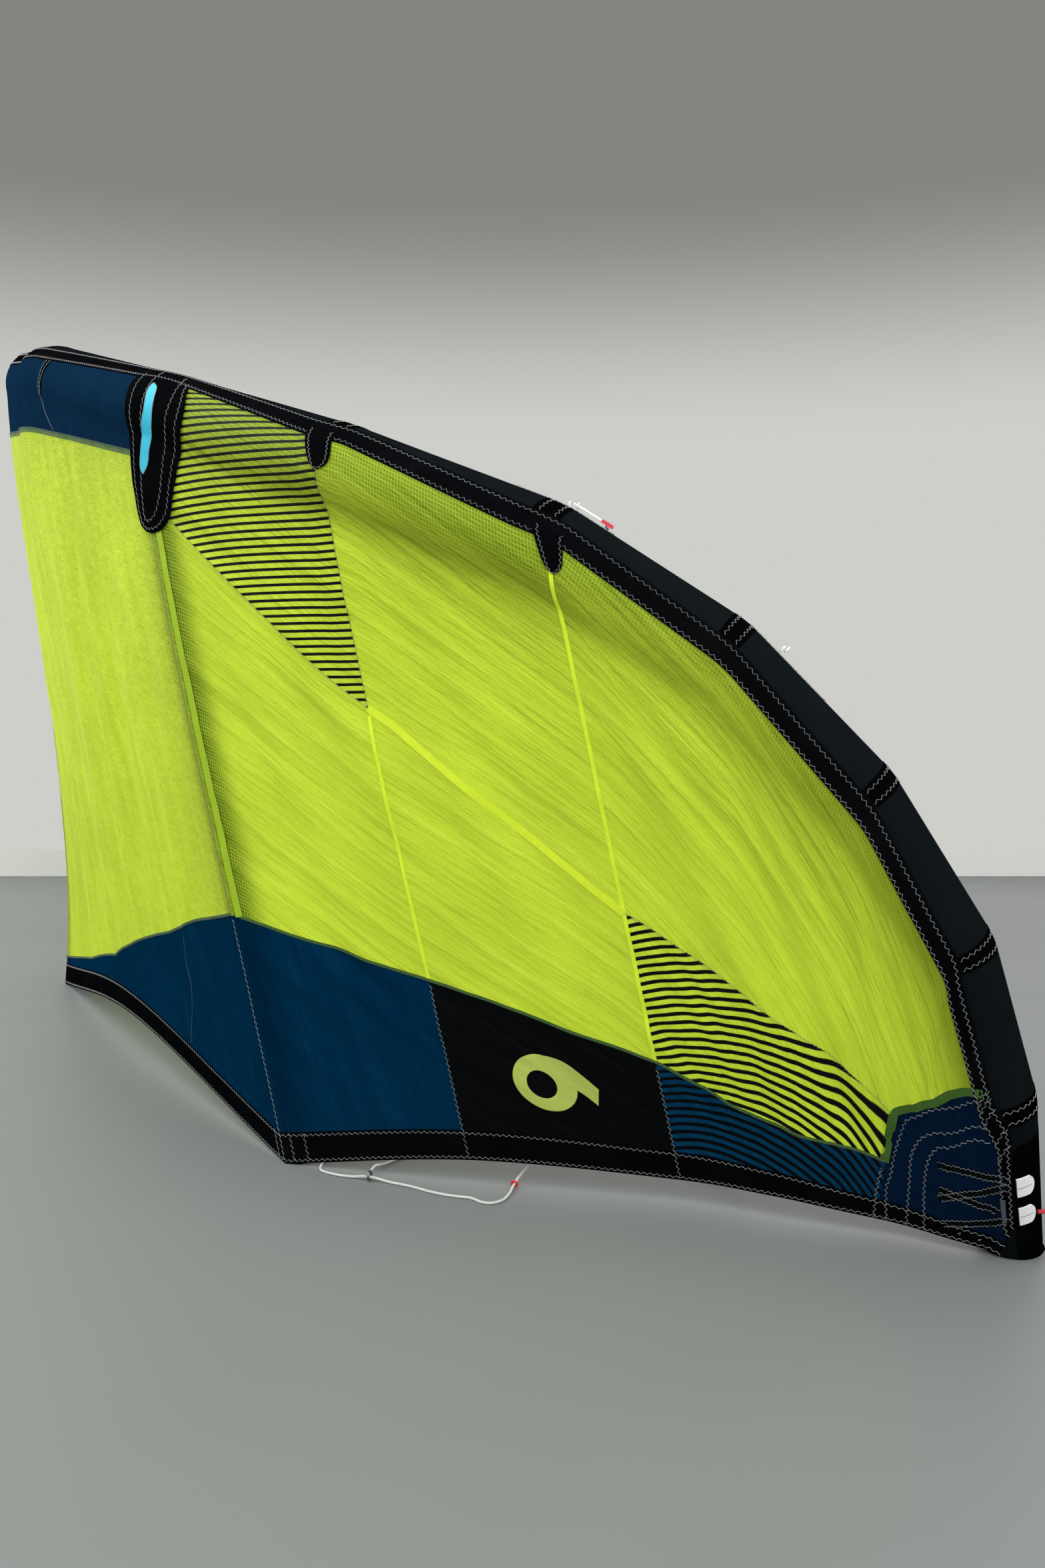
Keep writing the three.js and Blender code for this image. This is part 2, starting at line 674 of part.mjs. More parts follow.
function cordGeometry(list, width) {
  const section = new THREE.Shape(
    ringAngles(CORD_SIDES).map(
      (angle) => new THREE.Vector2(Math.cos(angle) * width * 0.5, Math.sin(angle) * width * 0.5),
    ),
  );
  return new THREE.ExtrudeGeometry(section, {
    steps: list.length - 1,
    extrudePath: new Route(list),
    bevelEnabled: false,
  });
}

// Assembly

const root = new THREE.Group();
root.position.y = -CENTRE_Y;
const kite = new THREE.Group();
root.add(kite);

function material(colour, roughness = 0.6, metalness = 0) {
  return new THREE.MeshStandardMaterial({ color: COLOUR[colour], roughness, metalness });
}

function add(name, geometry, paint) {
  const mesh = new THREE.Mesh(geometry, paint);
  mesh.name = name;
  kite.add(mesh);
  return mesh;
}

function addPair(name, geometry, paint) {
  add(`${name}_right`, geometry, paint);
  add(`${name}_left`, geometry, paint).scale.x = -1;
}

function addTubes() {
  const paint = material("tube", 0.7);
  const slack = 0.0005;
  add("leading_edge_centre", tubeLength(CENTRE_RINGS.map((s) => s * (1 - slack))), paint);
  for (let i = 1; i < TIP; i++) {
    const last = i + 1 === TIP;
    const geometry = tubeLength(segmentRings(i + slack, last ? TIP + 0.15 : i + 1 - slack));
    const cut = last ? toGeometry(toSolid(geometry).trimByPlane([0, 0, 1], 0)) : geometry;
    addPair(`leading_edge_${i}`, cut, paint);
  }
}

function addCanopy() {
  for (const { name, colour, rows } of [...PANELS, ...BANDS]) {
    addPair(name, clothSheet(rows, CLOTH), material(colour, 0.55));
  }
}

function addStruts() {
  const paint = material("tube", 0.7);
  add("strut_centre", strutGeometry(0), paint);
  addPair("strut_side", strutGeometry(SIDE_STRUT), paint);
}

const COVER_ROWS = 12;

// Wear covers over the head of each strut, laid on the canopy.
function addCovers() {
  const paint = material("black", 0.65);
  const lift = (CLOTH + COVER) * 0.5;
  const centre = steps(0, 1, COVER_ROWS).map((v) => [-0.13, 0, 0.13].map((s) => [s, v * 0.2]));
  const side = steps(0, 1, COVER_ROWS).map((v) => {
    const [inner, outer] = [1.93, mix(2.3, 2.14, v)];
    const stations = [inner, 2, mix(2, outer, 0.5), outer];
    return stations.map((s) => [s, v * mix(0.215, 0.19, (s - inner) / 0.2)]);
  });
  add("strut_cover_centre", clothSheet(centre, COVER, lift + 1.9), paint);
  addPair("strut_cover_side", clothSheet(side, COVER, lift + 3.8), paint);
}

function addTongues() {
  const paint = material("webbing", 0.8);
  for (const [place, stations] of Object.entries(TONGUE_STATIONS)) {
    addPair(`tongue_${place}`, tongueGeometry(stations), paint);
  }
}

// Sets a ring round the route at one of its points.
function threadOn(mesh, list, at) {
  const i = list.indexOf(at);
  const along = point(list[i + 1]).sub(point(list[i - 1])).normalize();
  mesh.position.set(...at);
  mesh.quaternion.setFromUnitVectors(new THREE.Vector3(0, 0, 1), along);
}

function addBridle() {
  add("bridle_line", cordGeometry(BRIDLE_ROUTE, BRIDLE_WIDTH), material("line", 0.85));
  add("bridle_leg", cordGeometry(LEG_ROUTE, BRIDLE_WIDTH), material("line", 0.85));
  add("tip_pigtail", cordGeometry(PIGTAIL_ROUTE, PIGTAIL_WIDTH), material("red", 0.85));
  const bead = new THREE.TorusGeometry(BEAD.middle, BEAD.wire, 8, 16);
  threadOn(add("bridle_bead", bead, material("red", 0.35)), BRIDLE_ROUTE, BEAD_AT);
  const ring = new THREE.TorusGeometry(RING.middle, RING.wire, 8, 16);
  const hung = add("bridle_ring", ring, material("metal", 0.35, 0.9));
  threadOn(hung, BRIDLE_ROUTE, RING_AT);
  hung.position.z += RING_RISE;
}

addTubes();
addCanopy();
addStruts();
addCovers();
addTongues();
addBridle();

export default root;
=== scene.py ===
# An inflated kitesurfing kite that stands on its strut ends and wingtips, dressed for rendering.
# Shapes are worked out in millimetres in the kite's own frame and placed in metres in the part's.
import math

import bpy
import numpy as np
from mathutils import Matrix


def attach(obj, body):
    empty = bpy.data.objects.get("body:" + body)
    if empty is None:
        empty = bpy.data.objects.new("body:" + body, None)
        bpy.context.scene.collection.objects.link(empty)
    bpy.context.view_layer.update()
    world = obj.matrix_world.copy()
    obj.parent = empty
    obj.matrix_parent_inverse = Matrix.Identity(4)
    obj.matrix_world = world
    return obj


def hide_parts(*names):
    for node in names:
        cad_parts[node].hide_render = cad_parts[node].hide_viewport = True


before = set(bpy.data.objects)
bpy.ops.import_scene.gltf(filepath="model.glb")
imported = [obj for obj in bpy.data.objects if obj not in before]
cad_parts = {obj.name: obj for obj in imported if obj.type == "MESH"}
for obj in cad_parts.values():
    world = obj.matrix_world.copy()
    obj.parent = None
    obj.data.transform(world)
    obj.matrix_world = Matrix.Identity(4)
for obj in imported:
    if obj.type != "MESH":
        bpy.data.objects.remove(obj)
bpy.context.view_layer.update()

MM = 0.001
CENTRE = np.array([0.0, 891.0, 0.0])


def to_part(points):
    """Kite millimetres to metres in the part's frame."""
    return (np.asarray(points, float) - CENTRE) * MM


# Camera

CAMERA_AT = (3.9186, -0.3298, 0.985)
CAMERA_YAW = 167.19
CAMERA_DOWN = 5.64
LENS = 27.98


def add_camera():
    data = bpy.data.cameras.new("camera")
    data.sensor_width = 36.0
    data.lens = LENS
    data.clip_end = 100.0
    camera = bpy.data.objects.new("camera", data)
    camera.location = CAMERA_AT
    camera.rotation_euler = (math.radians(90 - CAMERA_DOWN), 0, math.radians(CAMERA_YAW - 90))
    bpy.context.scene.collection.objects.link(camera)
    bpy.context.scene.camera = camera


add_camera()


# Small vector tools

def unit(v):
    return v / np.maximum(np.linalg.norm(v, axis=-1, keepdims=True), 1e-12)


def dot(a, b):
    return np.sum(a * b, axis=-1, keepdims=True)


def mix(a, b, share):
    return a + (b - a) * share


def ease(value, low, high):
    """0 below low, 1 above high, smooth between them."""
    x = np.clip((value - low) / (high - low), 0, 1)
    return x * x * (3 - 2 * x)


def smooth(points, u, before=None):
    """A smooth curve through a list of points, one unit of u per point."""
    first = 2 * points[0] - points[1] if before is None else before
    padded = np.vstack([first, points, 2 * points[-1] - points[-2]])
    u = np.asarray(u, float)
    i = np.clip(np.floor(u).astype(int), 0, len(points) - 2)
    f = (u - i)[..., None]
    a, b, c, d = (padded[i + k] for k in range(4))
    curve = 2 * b + (c - a) * f + (2 * a - 5 * b + 4 * c - d) * f**2 + (3 * b - a - 3 * c + d) * f**3
    return 0.5 * curve


def path(knots, each=8):
    """A smooth line through knots, with some points from each knot to the next."""
    knots = np.asarray(knots, float)
    return smooth(knots, np.linspace(0, len(knots) - 1, (len(knots) - 1) * each + 1))


def lengths_along(points, scale=1.0):
    return np.r_[0, np.cumsum(np.linalg.norm(np.diff(points, axis=0) * scale, axis=1))]


def round_angles(count):
    """Angles spaced evenly round a circle."""
    return np.arange(count) / count * 2 * math.pi


def aside(points, normals):
    """Directions across a line of points, along the surface that it lies on."""
    return unit(np.cross(normals, np.gradient(points, axis=0)))


# Materials

def node(tree, kind, inputs=None, **settings):
    made = tree.nodes.new("ShaderNode" + kind)
    for key, value in settings.items():
        setattr(made, key, value)
    for key, value in (inputs or {}).items():
        if isinstance(value, bpy.types.NodeSocket):
            tree.links.new(value, made.inputs[key])
        else:
            made.inputs[key].default_value = value
    return made


class Shade:
    """A material's nodes, with short names for the sums that cloth needs."""

    def __init__(self, name):
        self.material = bpy.data.materials.new(name)
        self.material.use_nodes = True
        self.tree = self.material.node_tree
        self.tree.nodes.clear()
        self.output = self.tree.nodes.new("ShaderNodeOutputMaterial")

    def math(self, operation, a, b=0.0):
        return node(self.tree, "Math", {0: a, 1: b}, operation=operation).outputs[0]

    def times(self, a, b):
        return self.math("MULTIPLY", a, b)

    def ramp(self, value, low, high, to_low=0.0, to_high=1.0):
        inputs = {"Value": value, "From Min": low, "From Max": high, "To Min": to_low, "To Max": to_high}
        return node(self.tree, "MapRange", inputs, interpolation_type="SMOOTHSTEP").outputs[0]

    def blend(self, share, a, b):
        """Colours a and b mixed by share."""
        made = node(self.tree, "Mix", {0: share}, data_type="RGBA")
        for socket, value in ((6, a), (7, b)):
            if isinstance(value, bpy.types.NodeSocket):
                self.tree.links.new(value, made.inputs[socket])
            else:
                made.inputs[socket].default_value = (*value, 1.0)
        return made.outputs[2]

    def uv(self):
        """The cloth's own measure, in metres along it and down it."""
        return node(self.tree, "UVMap", uv_map="cloth").outputs[0]

    def place(self):
        return node(self.tree, "TexCoord").outputs["Object"]

    def xy(self, vector):
        parts = node(self.tree, "SeparateXYZ", {0: vector})
        return parts.outputs[0], parts.outputs[1]

    def slanted(self, vector, degrees, along, cross):
        """The measure turned by some degrees and stretched along the new direction."""
        turned = node(self.tree, "VectorRotate", {"Vector": vector, "Angle": math.radians(-degrees)})
        inputs = {0: turned.outputs[0], 1: (along, cross, 1.0)}
        return node(self.tree, "VectorMath", inputs, operation="MULTIPLY").outputs[0]

    def noise(self, vector, scale, detail=3.0, roughness=0.55):
        inputs = {"Vector": vector, "Scale": scale, "Detail": detail, "Roughness": roughness}
        return node(self.tree, "TexNoise", inputs).outputs[0]

    def attribute(self, name):
        return node(self.tree, "Attribute", attribute_name=name).outputs["Fac"]

    def wave(self, value, pitch):
        """A sine that comes back after each pitch."""
        return self.math("SINE", self.times(value, 2 * math.pi / pitch))

    def lines(self, value, pitch, width, first=0.0, last=1.0):
        """1 on lines a pitch apart, 0 between them. Their edge fades from first to last, as shares."""
        edge = math.sin(math.pi * width / pitch)
        turn = self.math("ABSOLUTE", self.wave(value, 2 * pitch))
        return self.ramp(turn, edge * first, edge * last, 1.0, 0.0)

    def bump(self, height, distance, strength=1.0, under=None):
        inputs = {"Height": height, "Distance": distance, "Strength": strength}
        if under is not None:
            inputs["Normal"] = under
        return node(self.tree, "Bump", inputs).outputs[0]

    def surface(self, **inputs):
        named = {key.replace("_", " "): value for key, value in inputs.items()}
        return node(self.tree, "BsdfPrincipled", named).outputs[0]

    def end(self, shader):
        self.tree.links.new(shader, self.output.inputs[0])
        return self.material

    def end_lit_through(self, share, face, **inputs):
        """Ends thin cloth, which lets a share of the light through."""
        through = node(self.tree, "BsdfTranslucent", inputs).outputs[0]
        return self.end(node(self.tree, "MixShader", {0: share, 1: face, 2: through}).outputs[0])


def toned(colour, share):
    return tuple(c * share for c in colour)


INK = (0.002, 0.003, 0.004)
UPPER_PRINT = (0.0142, 0.0028, 0.3)
LOWER_PRINT = (0.0205, 0.0047, 1.1)
RIPSTOP_ACROSS = 0.0063
RIPSTOP_DOWN = 0.0073
THREAD = 0.0016


def ripstop(name, colour, deep, letting_through, stripes=None, slant=14.0, painted_wrinkle_shading=0.3, crease=0.006,
            gloss=0.12):
    """Coated ripstop cloth. deep is painted shade: its colour where the shadow of a dark tube or strut behind
    the cloth is painted on. The slanted streaks and the creases also paint highlight and shade on it.
    """
    shade = Shade(name)
    uv = shade.uv()
    across, down = shade.xy(uv)
    upright = shade.lines(across, RIPSTOP_ACROSS, THREAD)
    grid = shade.math("MAXIMUM", upright, shade.lines(down, RIPSTOP_DOWN, THREAD))
    patches = shade.noise(uv, 3.5, 4.0)
    crease_bump_and_highlight = shade.noise(uv, 34.0, 5.0, 0.65)
    wrinkle_bump_and_shading = shade.noise(shade.slanted(uv, slant, 2.4, 24.0), 1.0, 3.0, 0.6)
    # Painted shade of the tube or strut behind the cloth, kept lighter on the threads.
    open_cells = shade.math("SUBTRACT", 1.0, shade.times(grid, 0.7))
    dark = shade.times(shade.attribute("behind"), open_cells)
    # Lighter colour for the painted highlights on wrinkles and crinkles.
    pale = tuple(min(1.0, c * 1.15 + 0.03 * max(colour)) for c in colour)
    low = toned(colour, 0.84)
    base = shade.blend(shade.ramp(patches, 0.3, 0.7), low, colour)
    # Painted highlight and painted shade along the slanted wrinkles; the same noise also bumps the surface.
    base = shade.blend(shade.ramp(wrinkle_bump_and_shading, 0.5, 0.72, 0.0, painted_wrinkle_shading), base, pale)
    base = shade.blend(shade.ramp(wrinkle_bump_and_shading, 0.5, 0.3, 0.0, painted_wrinkle_shading), base, toned(colour, 0.72))
    base = shade.blend(shade.times(grid, 0.5), base, low)
    # Painted highlight on the crinkles; the same noise also bumps the surface.
    base = shade.blend(shade.ramp(crease_bump_and_highlight, 0.6, 0.8, 0.0, 0.3), base, pale)
    # Painted shade where a tube or strut lies behind the cloth.
    base = shade.blend(dark, base, deep)
    if stripes is not None:
        base = shade.blend(striped(shade, across, down, *stripes), base, INK)
    bumped = shade.bump(crease_bump_and_highlight, crease, 0.5)
    bumped = shade.bump(wrinkle_bump_and_shading, 0.02, 0.5, bumped)
    bumped = shade.bump(grid, 0.0004, 0.5, bumped)
    face = shade.surface(Base_Color=base, Roughness=0.55, Specular_IOR_Level=gloss, Normal=bumped)
    return shade.end_lit_through(letting_through, face, Color=base, Normal=bumped)


def striped(shade, across, down, pitch, width, slope):
    """Even straight printed stripes, a little off the thread's line."""
    along = shade.math("ADD", down, shade.times(across, slope))
    return shade.lines(along, pitch, width, 0.82, 1.18)


def woven(name, colour, pale, pitch, roughness, depth=0.0003):
    """Close plain weave, for tube cloth, bands and covers."""
    shade = Shade(name)
    uv = shade.uv()
    across, down = shade.xy(uv)
    weave = shade.times(shade.wave(across, pitch), shade.wave(down, pitch))
    weave = shade.ramp(weave, -1.0, 1.0)
    worn = shade.noise(uv, 7.0, 5.0, 0.6)
    base = shade.blend(shade.ramp(worn, 0.42, 0.78, 0.0, 0.6), colour, pale)
    base = shade.blend(shade.times(weave, 0.3), base, pale)
    bumped = shade.bump(shade.noise(uv, 26.0, 3.0, 0.5), 0.003, 0.35)
    bumped = shade.bump(weave, depth, 0.6, bumped)
    rough = shade.ramp(worn, 0.35, 0.7, roughness - 0.06, roughness + 0.08)
    return shade.end(shade.surface(Base_Color=base, Roughness=rough, Specular_IOR_Level=0.0, Normal=bumped))


def tape(name, colour, letting_through=0.0):
    """Narrow sticky-backed seam tape, smooth with a faint lengthwise grain."""
    shade = Shade(name)
    grain = shade.noise(shade.uv(), 60.0, 2.0)
    base = shade.blend(grain, toned(colour, 0.86), colour)
    bumped = shade.bump(grain, 0.001, 0.4)
    face = shade.surface(Base_Color=base, Roughness=0.5, Specular_IOR_Level=0.15, Normal=bumped)
    return shade.end_lit_through(letting_through, face, Color=base)


def braid(name, colour, pitch):
    """Braided cord, its strands crossing in both senses."""
    shade = Shade(name)
    x, y, z = node(shade.tree, "SeparateXYZ", {0: shade.place()}).outputs
    one = shade.wave(shade.math("ADD", shade.math("ADD", x, y), z), pitch)
    two = shade.wave(shade.math("SUBTRACT", shade.math("SUBTRACT", x, y), z), pitch)
    strands = shade.ramp(shade.times(one, two), -0.6, 0.8)
    base = shade.blend(strands, toned(colour, 0.62), colour)
    return shade.end(shade.surface(Base_Color=base, Roughness=0.72, Normal=shade.bump(strands, 0.0006, 0.8)))


def speckled(name, colour, roughness, metallic=0.0, coat=0.0):
    """Smooth plastic or metal with fine scratches and a little dirt."""
    shade = Shade(name)
    dirt = shade.noise(shade.place(), 180.0, 4.0)
    base = shade.blend(shade.ramp(dirt, 0.45, 0.75), colour, toned(colour, 0.7))
    rough = shade.ramp(dirt, 0.3, 0.7, roughness, roughness + 0.15)
    bumped = shade.bump(dirt, 0.0003, 0.4)
    return shade.end(
        shade.surface(Base_Color=base, Roughness=rough, Metallic=metallic, Coat_Weight=coat, Normal=bumped)
    )


def threads(name, colour):
    """Sewing thread, two strands laid together."""
    shade = Shade(name)
    fine = shade.noise(shade.place(), 900.0, 2.0)
    base = shade.blend(fine, toned(colour, 0.7), colour)
    return shade.end(shade.surface(Base_Color=base, Roughness=0.6, Normal=shade.bump(fine, 0.0003, 0.5)))


LIME = (0.67, 0.87, 0.05)
# Lime's colour in the painted shade of a tube or strut behind the cloth.
LIME_PAINTED_SHADE = (0.085, 0.165, 0.006)
# Each ripstop's second colour is its painted shade where a tube or strut lies behind it.
MATERIALS = {
    "lime_crumpled": ripstop(
        "lime_ripstop_crumpled", LIME, LIME_PAINTED_SHADE, 0.4, slant=84.0, painted_wrinkle_shading=0.45, crease=0.016
    ),
    "lime": ripstop("lime_ripstop", LIME, LIME_PAINTED_SHADE, 0.4, painted_wrinkle_shading=0.4),
    "lime_striped": ripstop("lime_ripstop_striped", LIME, LIME_PAINTED_SHADE, 0.4, UPPER_PRINT),
    "lime_striped_low": ripstop("lime_ripstop_striped_low", LIME, LIME_PAINTED_SHADE, 0.4, LOWER_PRINT),
    "navy_light": ripstop(
        "navy_ripstop_light", (0.004, 0.022, 0.054), (0.002, 0.009, 0.024), 0.1, slant=80.0, gloss=0.0
    ),
    "navy": ripstop("navy_ripstop", (0.0007, 0.0095, 0.033), (0.0007, 0.006, 0.020), 0.05, gloss=0.03),
    "blue": ripstop(
        "blue_ripstop", (0.0006, 0.026, 0.068), (0.0004, 0.012, 0.032), 0.08,
        slant=80.0, painted_wrinkle_shading=0.5, gloss=0.0,
    ),
    "blue_striped": ripstop(
        "blue_ripstop_striped", (0.0006, 0.040, 0.1), (0.0004, 0.015, 0.04), 0.08, LOWER_PRINT, gloss=0.03
    ),
    "black": ripstop(
        "black_ripstop", (0.0015, 0.002, 0.0026), (0.001, 0.001, 0.002), 0.0, painted_wrinkle_shading=0.8, gloss=0.04
    ),
    "band": woven("black_band", (0.0014, 0.0016, 0.002), (0.0045, 0.005, 0.006), 0.0016, 0.6),
    "boot": woven("boot_cloth", (0.0008, 0.0009, 0.001), (0.003, 0.003, 0.004), 0.0013, 0.7),
    "tube": woven("tube_cloth", (0.0040, 0.0055, 0.0065), (0.0065, 0.0085, 0.0095), 0.0011, 0.62),
    "webbing": woven("white_webbing", (0.78, 0.79, 0.8), (0.88, 0.89, 0.9), 0.0022, 0.7, 0.0005),
    "grey_tab": woven("grey_webbing", (0.07, 0.08, 0.09), (0.16, 0.17, 0.18), 0.0022, 0.7, 0.0005),
    "tape": tape("yellow_tape", (0.74, 0.93, 0.04)),
    "ridge": tape("ridge_tape", (0.40, 0.60, 0.03), 0.2),
    "overlap": tape("green_overlap", (0.055, 0.13, 0.02), 0.1),
    "numeral": tape("numeral_print", (0.46, 0.56, 0.11)),
    "badge": tape("cyan_badge", (0.02, 0.44, 0.60)),
    "line": braid("white_braid", (0.74, 0.75, 0.73), 0.0042),
    "red_cord": braid("red_braid", (0.56, 0.02, 0.035), 0.005),
    "bead": speckled("red_plastic", (0.6, 0.012, 0.016), 0.25, coat=0.5),
    "ring": speckled("ring_metal", (0.2, 0.21, 0.22), 0.3, metallic=1.0),
    "thread": threads("grey_thread", (0.26, 0.27, 0.275)),
    "dark_thread": threads("dark_thread", (0.10, 0.13, 0.14)),
}


# Pieces

def place(piece, paint, nodes=()):
    """Gives a piece its material and its body, and hides the solids that it stands for."""
    piece.data.materials.append(MATERIALS[paint])
    bpy.context.scene.collection.objects.link(piece)
    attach(piece, "root")
    if nodes:
        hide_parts(*nodes)
    return piece


def mesh_piece(name, points, faces, paint, nodes=(), uv=None, behind=None, sharp=40.0):
    mesh = bpy.data.meshes.new(name)
    mesh.from_pydata(to_part(points).tolist(), [], faces)
    mesh.polygons.foreach_set("use_smooth", np.ones(len(mesh.polygons), bool))
    mesh.set_sharp_from_angle(angle=math.radians(sharp))
    if uv is not None:
        corner = np.empty(len(mesh.loops), np.int32)
        mesh.loops.foreach_get("vertex_index", corner)
        layer = mesh.uv_layers.new(name="cloth")
        layer.data.foreach_set("uv", (np.asarray(uv)[corner] * MM).astype(np.float32).ravel())
    # The behind attribute holds the share of painted shade from a tube or strut behind the cloth.
    if behind is not None:
        values = mesh.attributes.new("behind", "FLOAT", "POINT")
        values.data.foreach_set("value", np.asarray(behind, np.float32).ravel())
    mesh.update()
    return place(bpy.data.objects.new(name, mesh), paint, nodes)


def pair(name, points, faces, paint, nodes=(), **more):
    """The same piece on the right half and, turned over, on the left half."""
    right = mesh_piece(name + "_right", points, faces, paint, [n + "_right" for n in nodes], **more)
    other = np.asarray(points) * (-1, 1, 1)
    turned = [face[::-1] for face in faces]
    left = mesh_piece(name + "_left", other, turned, paint, [n + "_left" for n in nodes], **more)
    return right, left


def grid_faces(rows, columns, first=0):
    quads = []
    for r in range(rows - 1):
        for c in range(columns - 1):
            i = first + r * columns + c
            quads.append((i, i + columns, i + columns + 1, i + 1))
    return quads


def closed_faces(rows, columns):
    """Faces of a closed sheet, the outer grid's points before the inner grid's."""
    back = rows * columns
    faces = grid_faces(rows, columns)
    faces += [face[::-1] for face in grid_faces(rows, columns, back)]
    rim = list(range(columns))
    rim += [r * columns + columns - 1 for r in range(1, rows)]
    rim += [(rows - 1) * columns + c for c in range(columns - 2, -1, -1)]
    rim += [r * columns for r in range(rows - 2, 0, -1)]
    for a, b in zip(rim, rim[1:] + rim[:1]):
        faces.append((a, b, back + b, back + a))
    return faces


def loft_faces(rings, sides):
    """Faces of a closed tube through rings of points."""
    faces = []
    for r in range(rings - 1):
        for c in range(sides):
            a, b = r * sides + c, r * sides + (c + 1) % sides
            faces.append((a, a + sides, b + sides, b))
    faces.append(tuple(range(sides)))
    top = (rings - 1) * sides
    faces.append(tuple(range(top + sides - 1, top - 1, -1)))
    return faces


# Cords

BRIDLE_WIDTH = 5.0
BRIDLE_ROUTE = np.array([
    (2014.7, 1126.7, 1203.9), (1984, 1143.7, 1203.8), (1945, 1140.6, 1195.6), (1910, 1126.6, 1168.6),
    (1897, 1126, 1077), (1904, 1129, 830), (1893, 1145, 540), (1866, 1150, 390),
    (1822, 1138, 245), (1776, 1106, 120), (1746, 1072, 45), (1738, 1054, 18),
    (1744, 1044, 10), (1754, 1038, 7.8), (1764, 1032, 6), (1786, 1020, 2.8),
    (1807, 1004, 2.6), (1815, 982, 2.6), (1806, 963, 2.6), (1786, 948, 2.6),
    (1769, 916, 2.6), (1745, 882, 2.6), (1710, 845, 2.6), (1684, 809, 3.2),
    (1671, 787.5, 6.8), (1663, 774, 7.8), (1655, 760.5, 6.8), (1642, 738, 3.2),
    (1622, 708, 2.6), (1598, 686, 2.6), (1566, 690, 2.6), (1542, 704, 5),
    (1524, 706, 40), (1504, 693, 190), (1470, 660, 520), (1436, 625, 950),
    (1402.5, 609.7, 1353), (1413.8, 615, 1446.6), (1441.3, 597, 1487.5), (1464.1, 569.9, 1501.5),
])
BEAD_AT = 13
RING_AT = 25
RING_RISE = 2.4
BEAD = (5.3, 2.3)
RING = (7.6, 2.4)
LEG_ROUTE = np.array([
    (1655.8, 778.2, 18.4), (1640, 787, 19), (1620, 797, 12), (1598, 812, 4),
    (1576, 842, 2.6), (1562, 892, 2.6), (1562, 962, 2.6), (1577, 1040, 2.6),
    (1606, 1118, 2.6), (1650, 1198, 2.6), (1702, 1276, 2.6), (1754, 1348, 2.6),
    (1800, 1404, 4), (1842, 1440, 25), (1884, 1452, 90), (1938, 1446, 250),
    (1984, 1430, 420), (2016, 1414, 600), (2036, 1402, 780), (2038.7, 1399, 899.8),
    (2049, 1401, 946), (2069.4, 1410.9, 968.6), (2102.5, 1411.9, 983.4), (2133.1, 1401.8, 984.8),
])
PIGTAIL_WIDTH = 7.0
PIGTAIL_ROUTE = np.array([
    (2237.1, 1808.4, 92.2), (2238.2, 1817.2, 92.3), (2238.8, 1826, 92), (2238.5, 1832.9, 90.6),
    (2238.5, 1838.7, 86.7), (2238.5, 1842.6, 80.9), (2238.5, 1844, 74), (2238.5, 1844, 58),
    (2238.6, 1844, 40), (2239, 1844, 23.7), (2239.8, 1845.9, 15.2), (2240.5, 1851.1, 8.4),
    (2241.2, 1858.8, 4.4), (2244, 1872, 3.7), (2248.5, 1886, 3.7),
])


def curve_piece(name, points, width, paint, nodes=()):
    data = bpy.data.curves.new(name, "CURVE")
    data.dimensions = "3D"
    data.bevel_depth = width * 0.5 * MM
    data.bevel_resolution = 3
    data.use_fill_caps = True
    spline = data.splines.new("POLY")
    placed = to_part(points)
    spline.points.add(len(placed) - 1)
    spline.points.foreach_set("co", np.c_[placed, np.ones(len(placed))].astype(np.float32).ravel())
    return place(bpy.data.objects.new(name, data), paint, nodes)


def torus(name, centre, axis, middle, wire, paint, nodes, turns=48, sides=20):
    """A ring round an axis through its centre."""
    axis = unit(np.asarray(axis, float))
    side = unit(np.cross(axis, (0.0, 0.0, 1.0)))
    up = np.cross(side, axis)
    points = []
    for turn in round_angles(turns):
        spoke = side * math.cos(turn) + up * math.sin(turn)
        for angle in round_angles(sides):
            points.append(centre + spoke * (middle + wire * math.cos(angle)) + axis * wire * math.sin(angle))
    faces = []
    for r in range(turns):
        for c in range(sides):
            a, b = r * sides, ((r + 1) % turns) * sides
            d = (c + 1) % sides
            faces.append((a + c, b + c, b + d, a + d))
    return mesh_piece(name, np.array(points), faces, paint, nodes, sharp=80.0)


def along_route(route, at):
    return unit(route[at + 1] - route[at - 1])


def add_cords():
    bead = torus(
        "cord_bead", BRIDLE_ROUTE[BEAD_AT], along_route(BRIDLE_ROUTE, BEAD_AT), *BEAD, "bead", ["bridle_bead"]
    )
    ring_centre = BRIDLE_ROUTE[RING_AT] + (0, 0, RING_RISE)
    ring = torus(
        "cord_ring", ring_centre, along_route(BRIDLE_ROUTE, RING_AT), *RING, "ring", ["bridle_ring"]
    )
    cords = (
        ("cord_bridle", BRIDLE_ROUTE, BRIDLE_WIDTH, "line", "bridle_line", "object", "hanging", [bead, ring]),
        ("cord_leg", LEG_ROUTE, BRIDLE_WIDTH, "line", "bridle_leg", "object", "hanging", []),
        ("cord_pigtail", PIGTAIL_ROUTE, PIGTAIL_WIDTH, "red_cord", "tip_pigtail", "bare", "loose", []),
    )
    for name, route, width, paint, stands_for, far_end, lay, pieces in cords:
        points = path(route, 6)
        curve_piece(name, points, width, paint, [stands_for])


add_cords()


# The canopy's shape

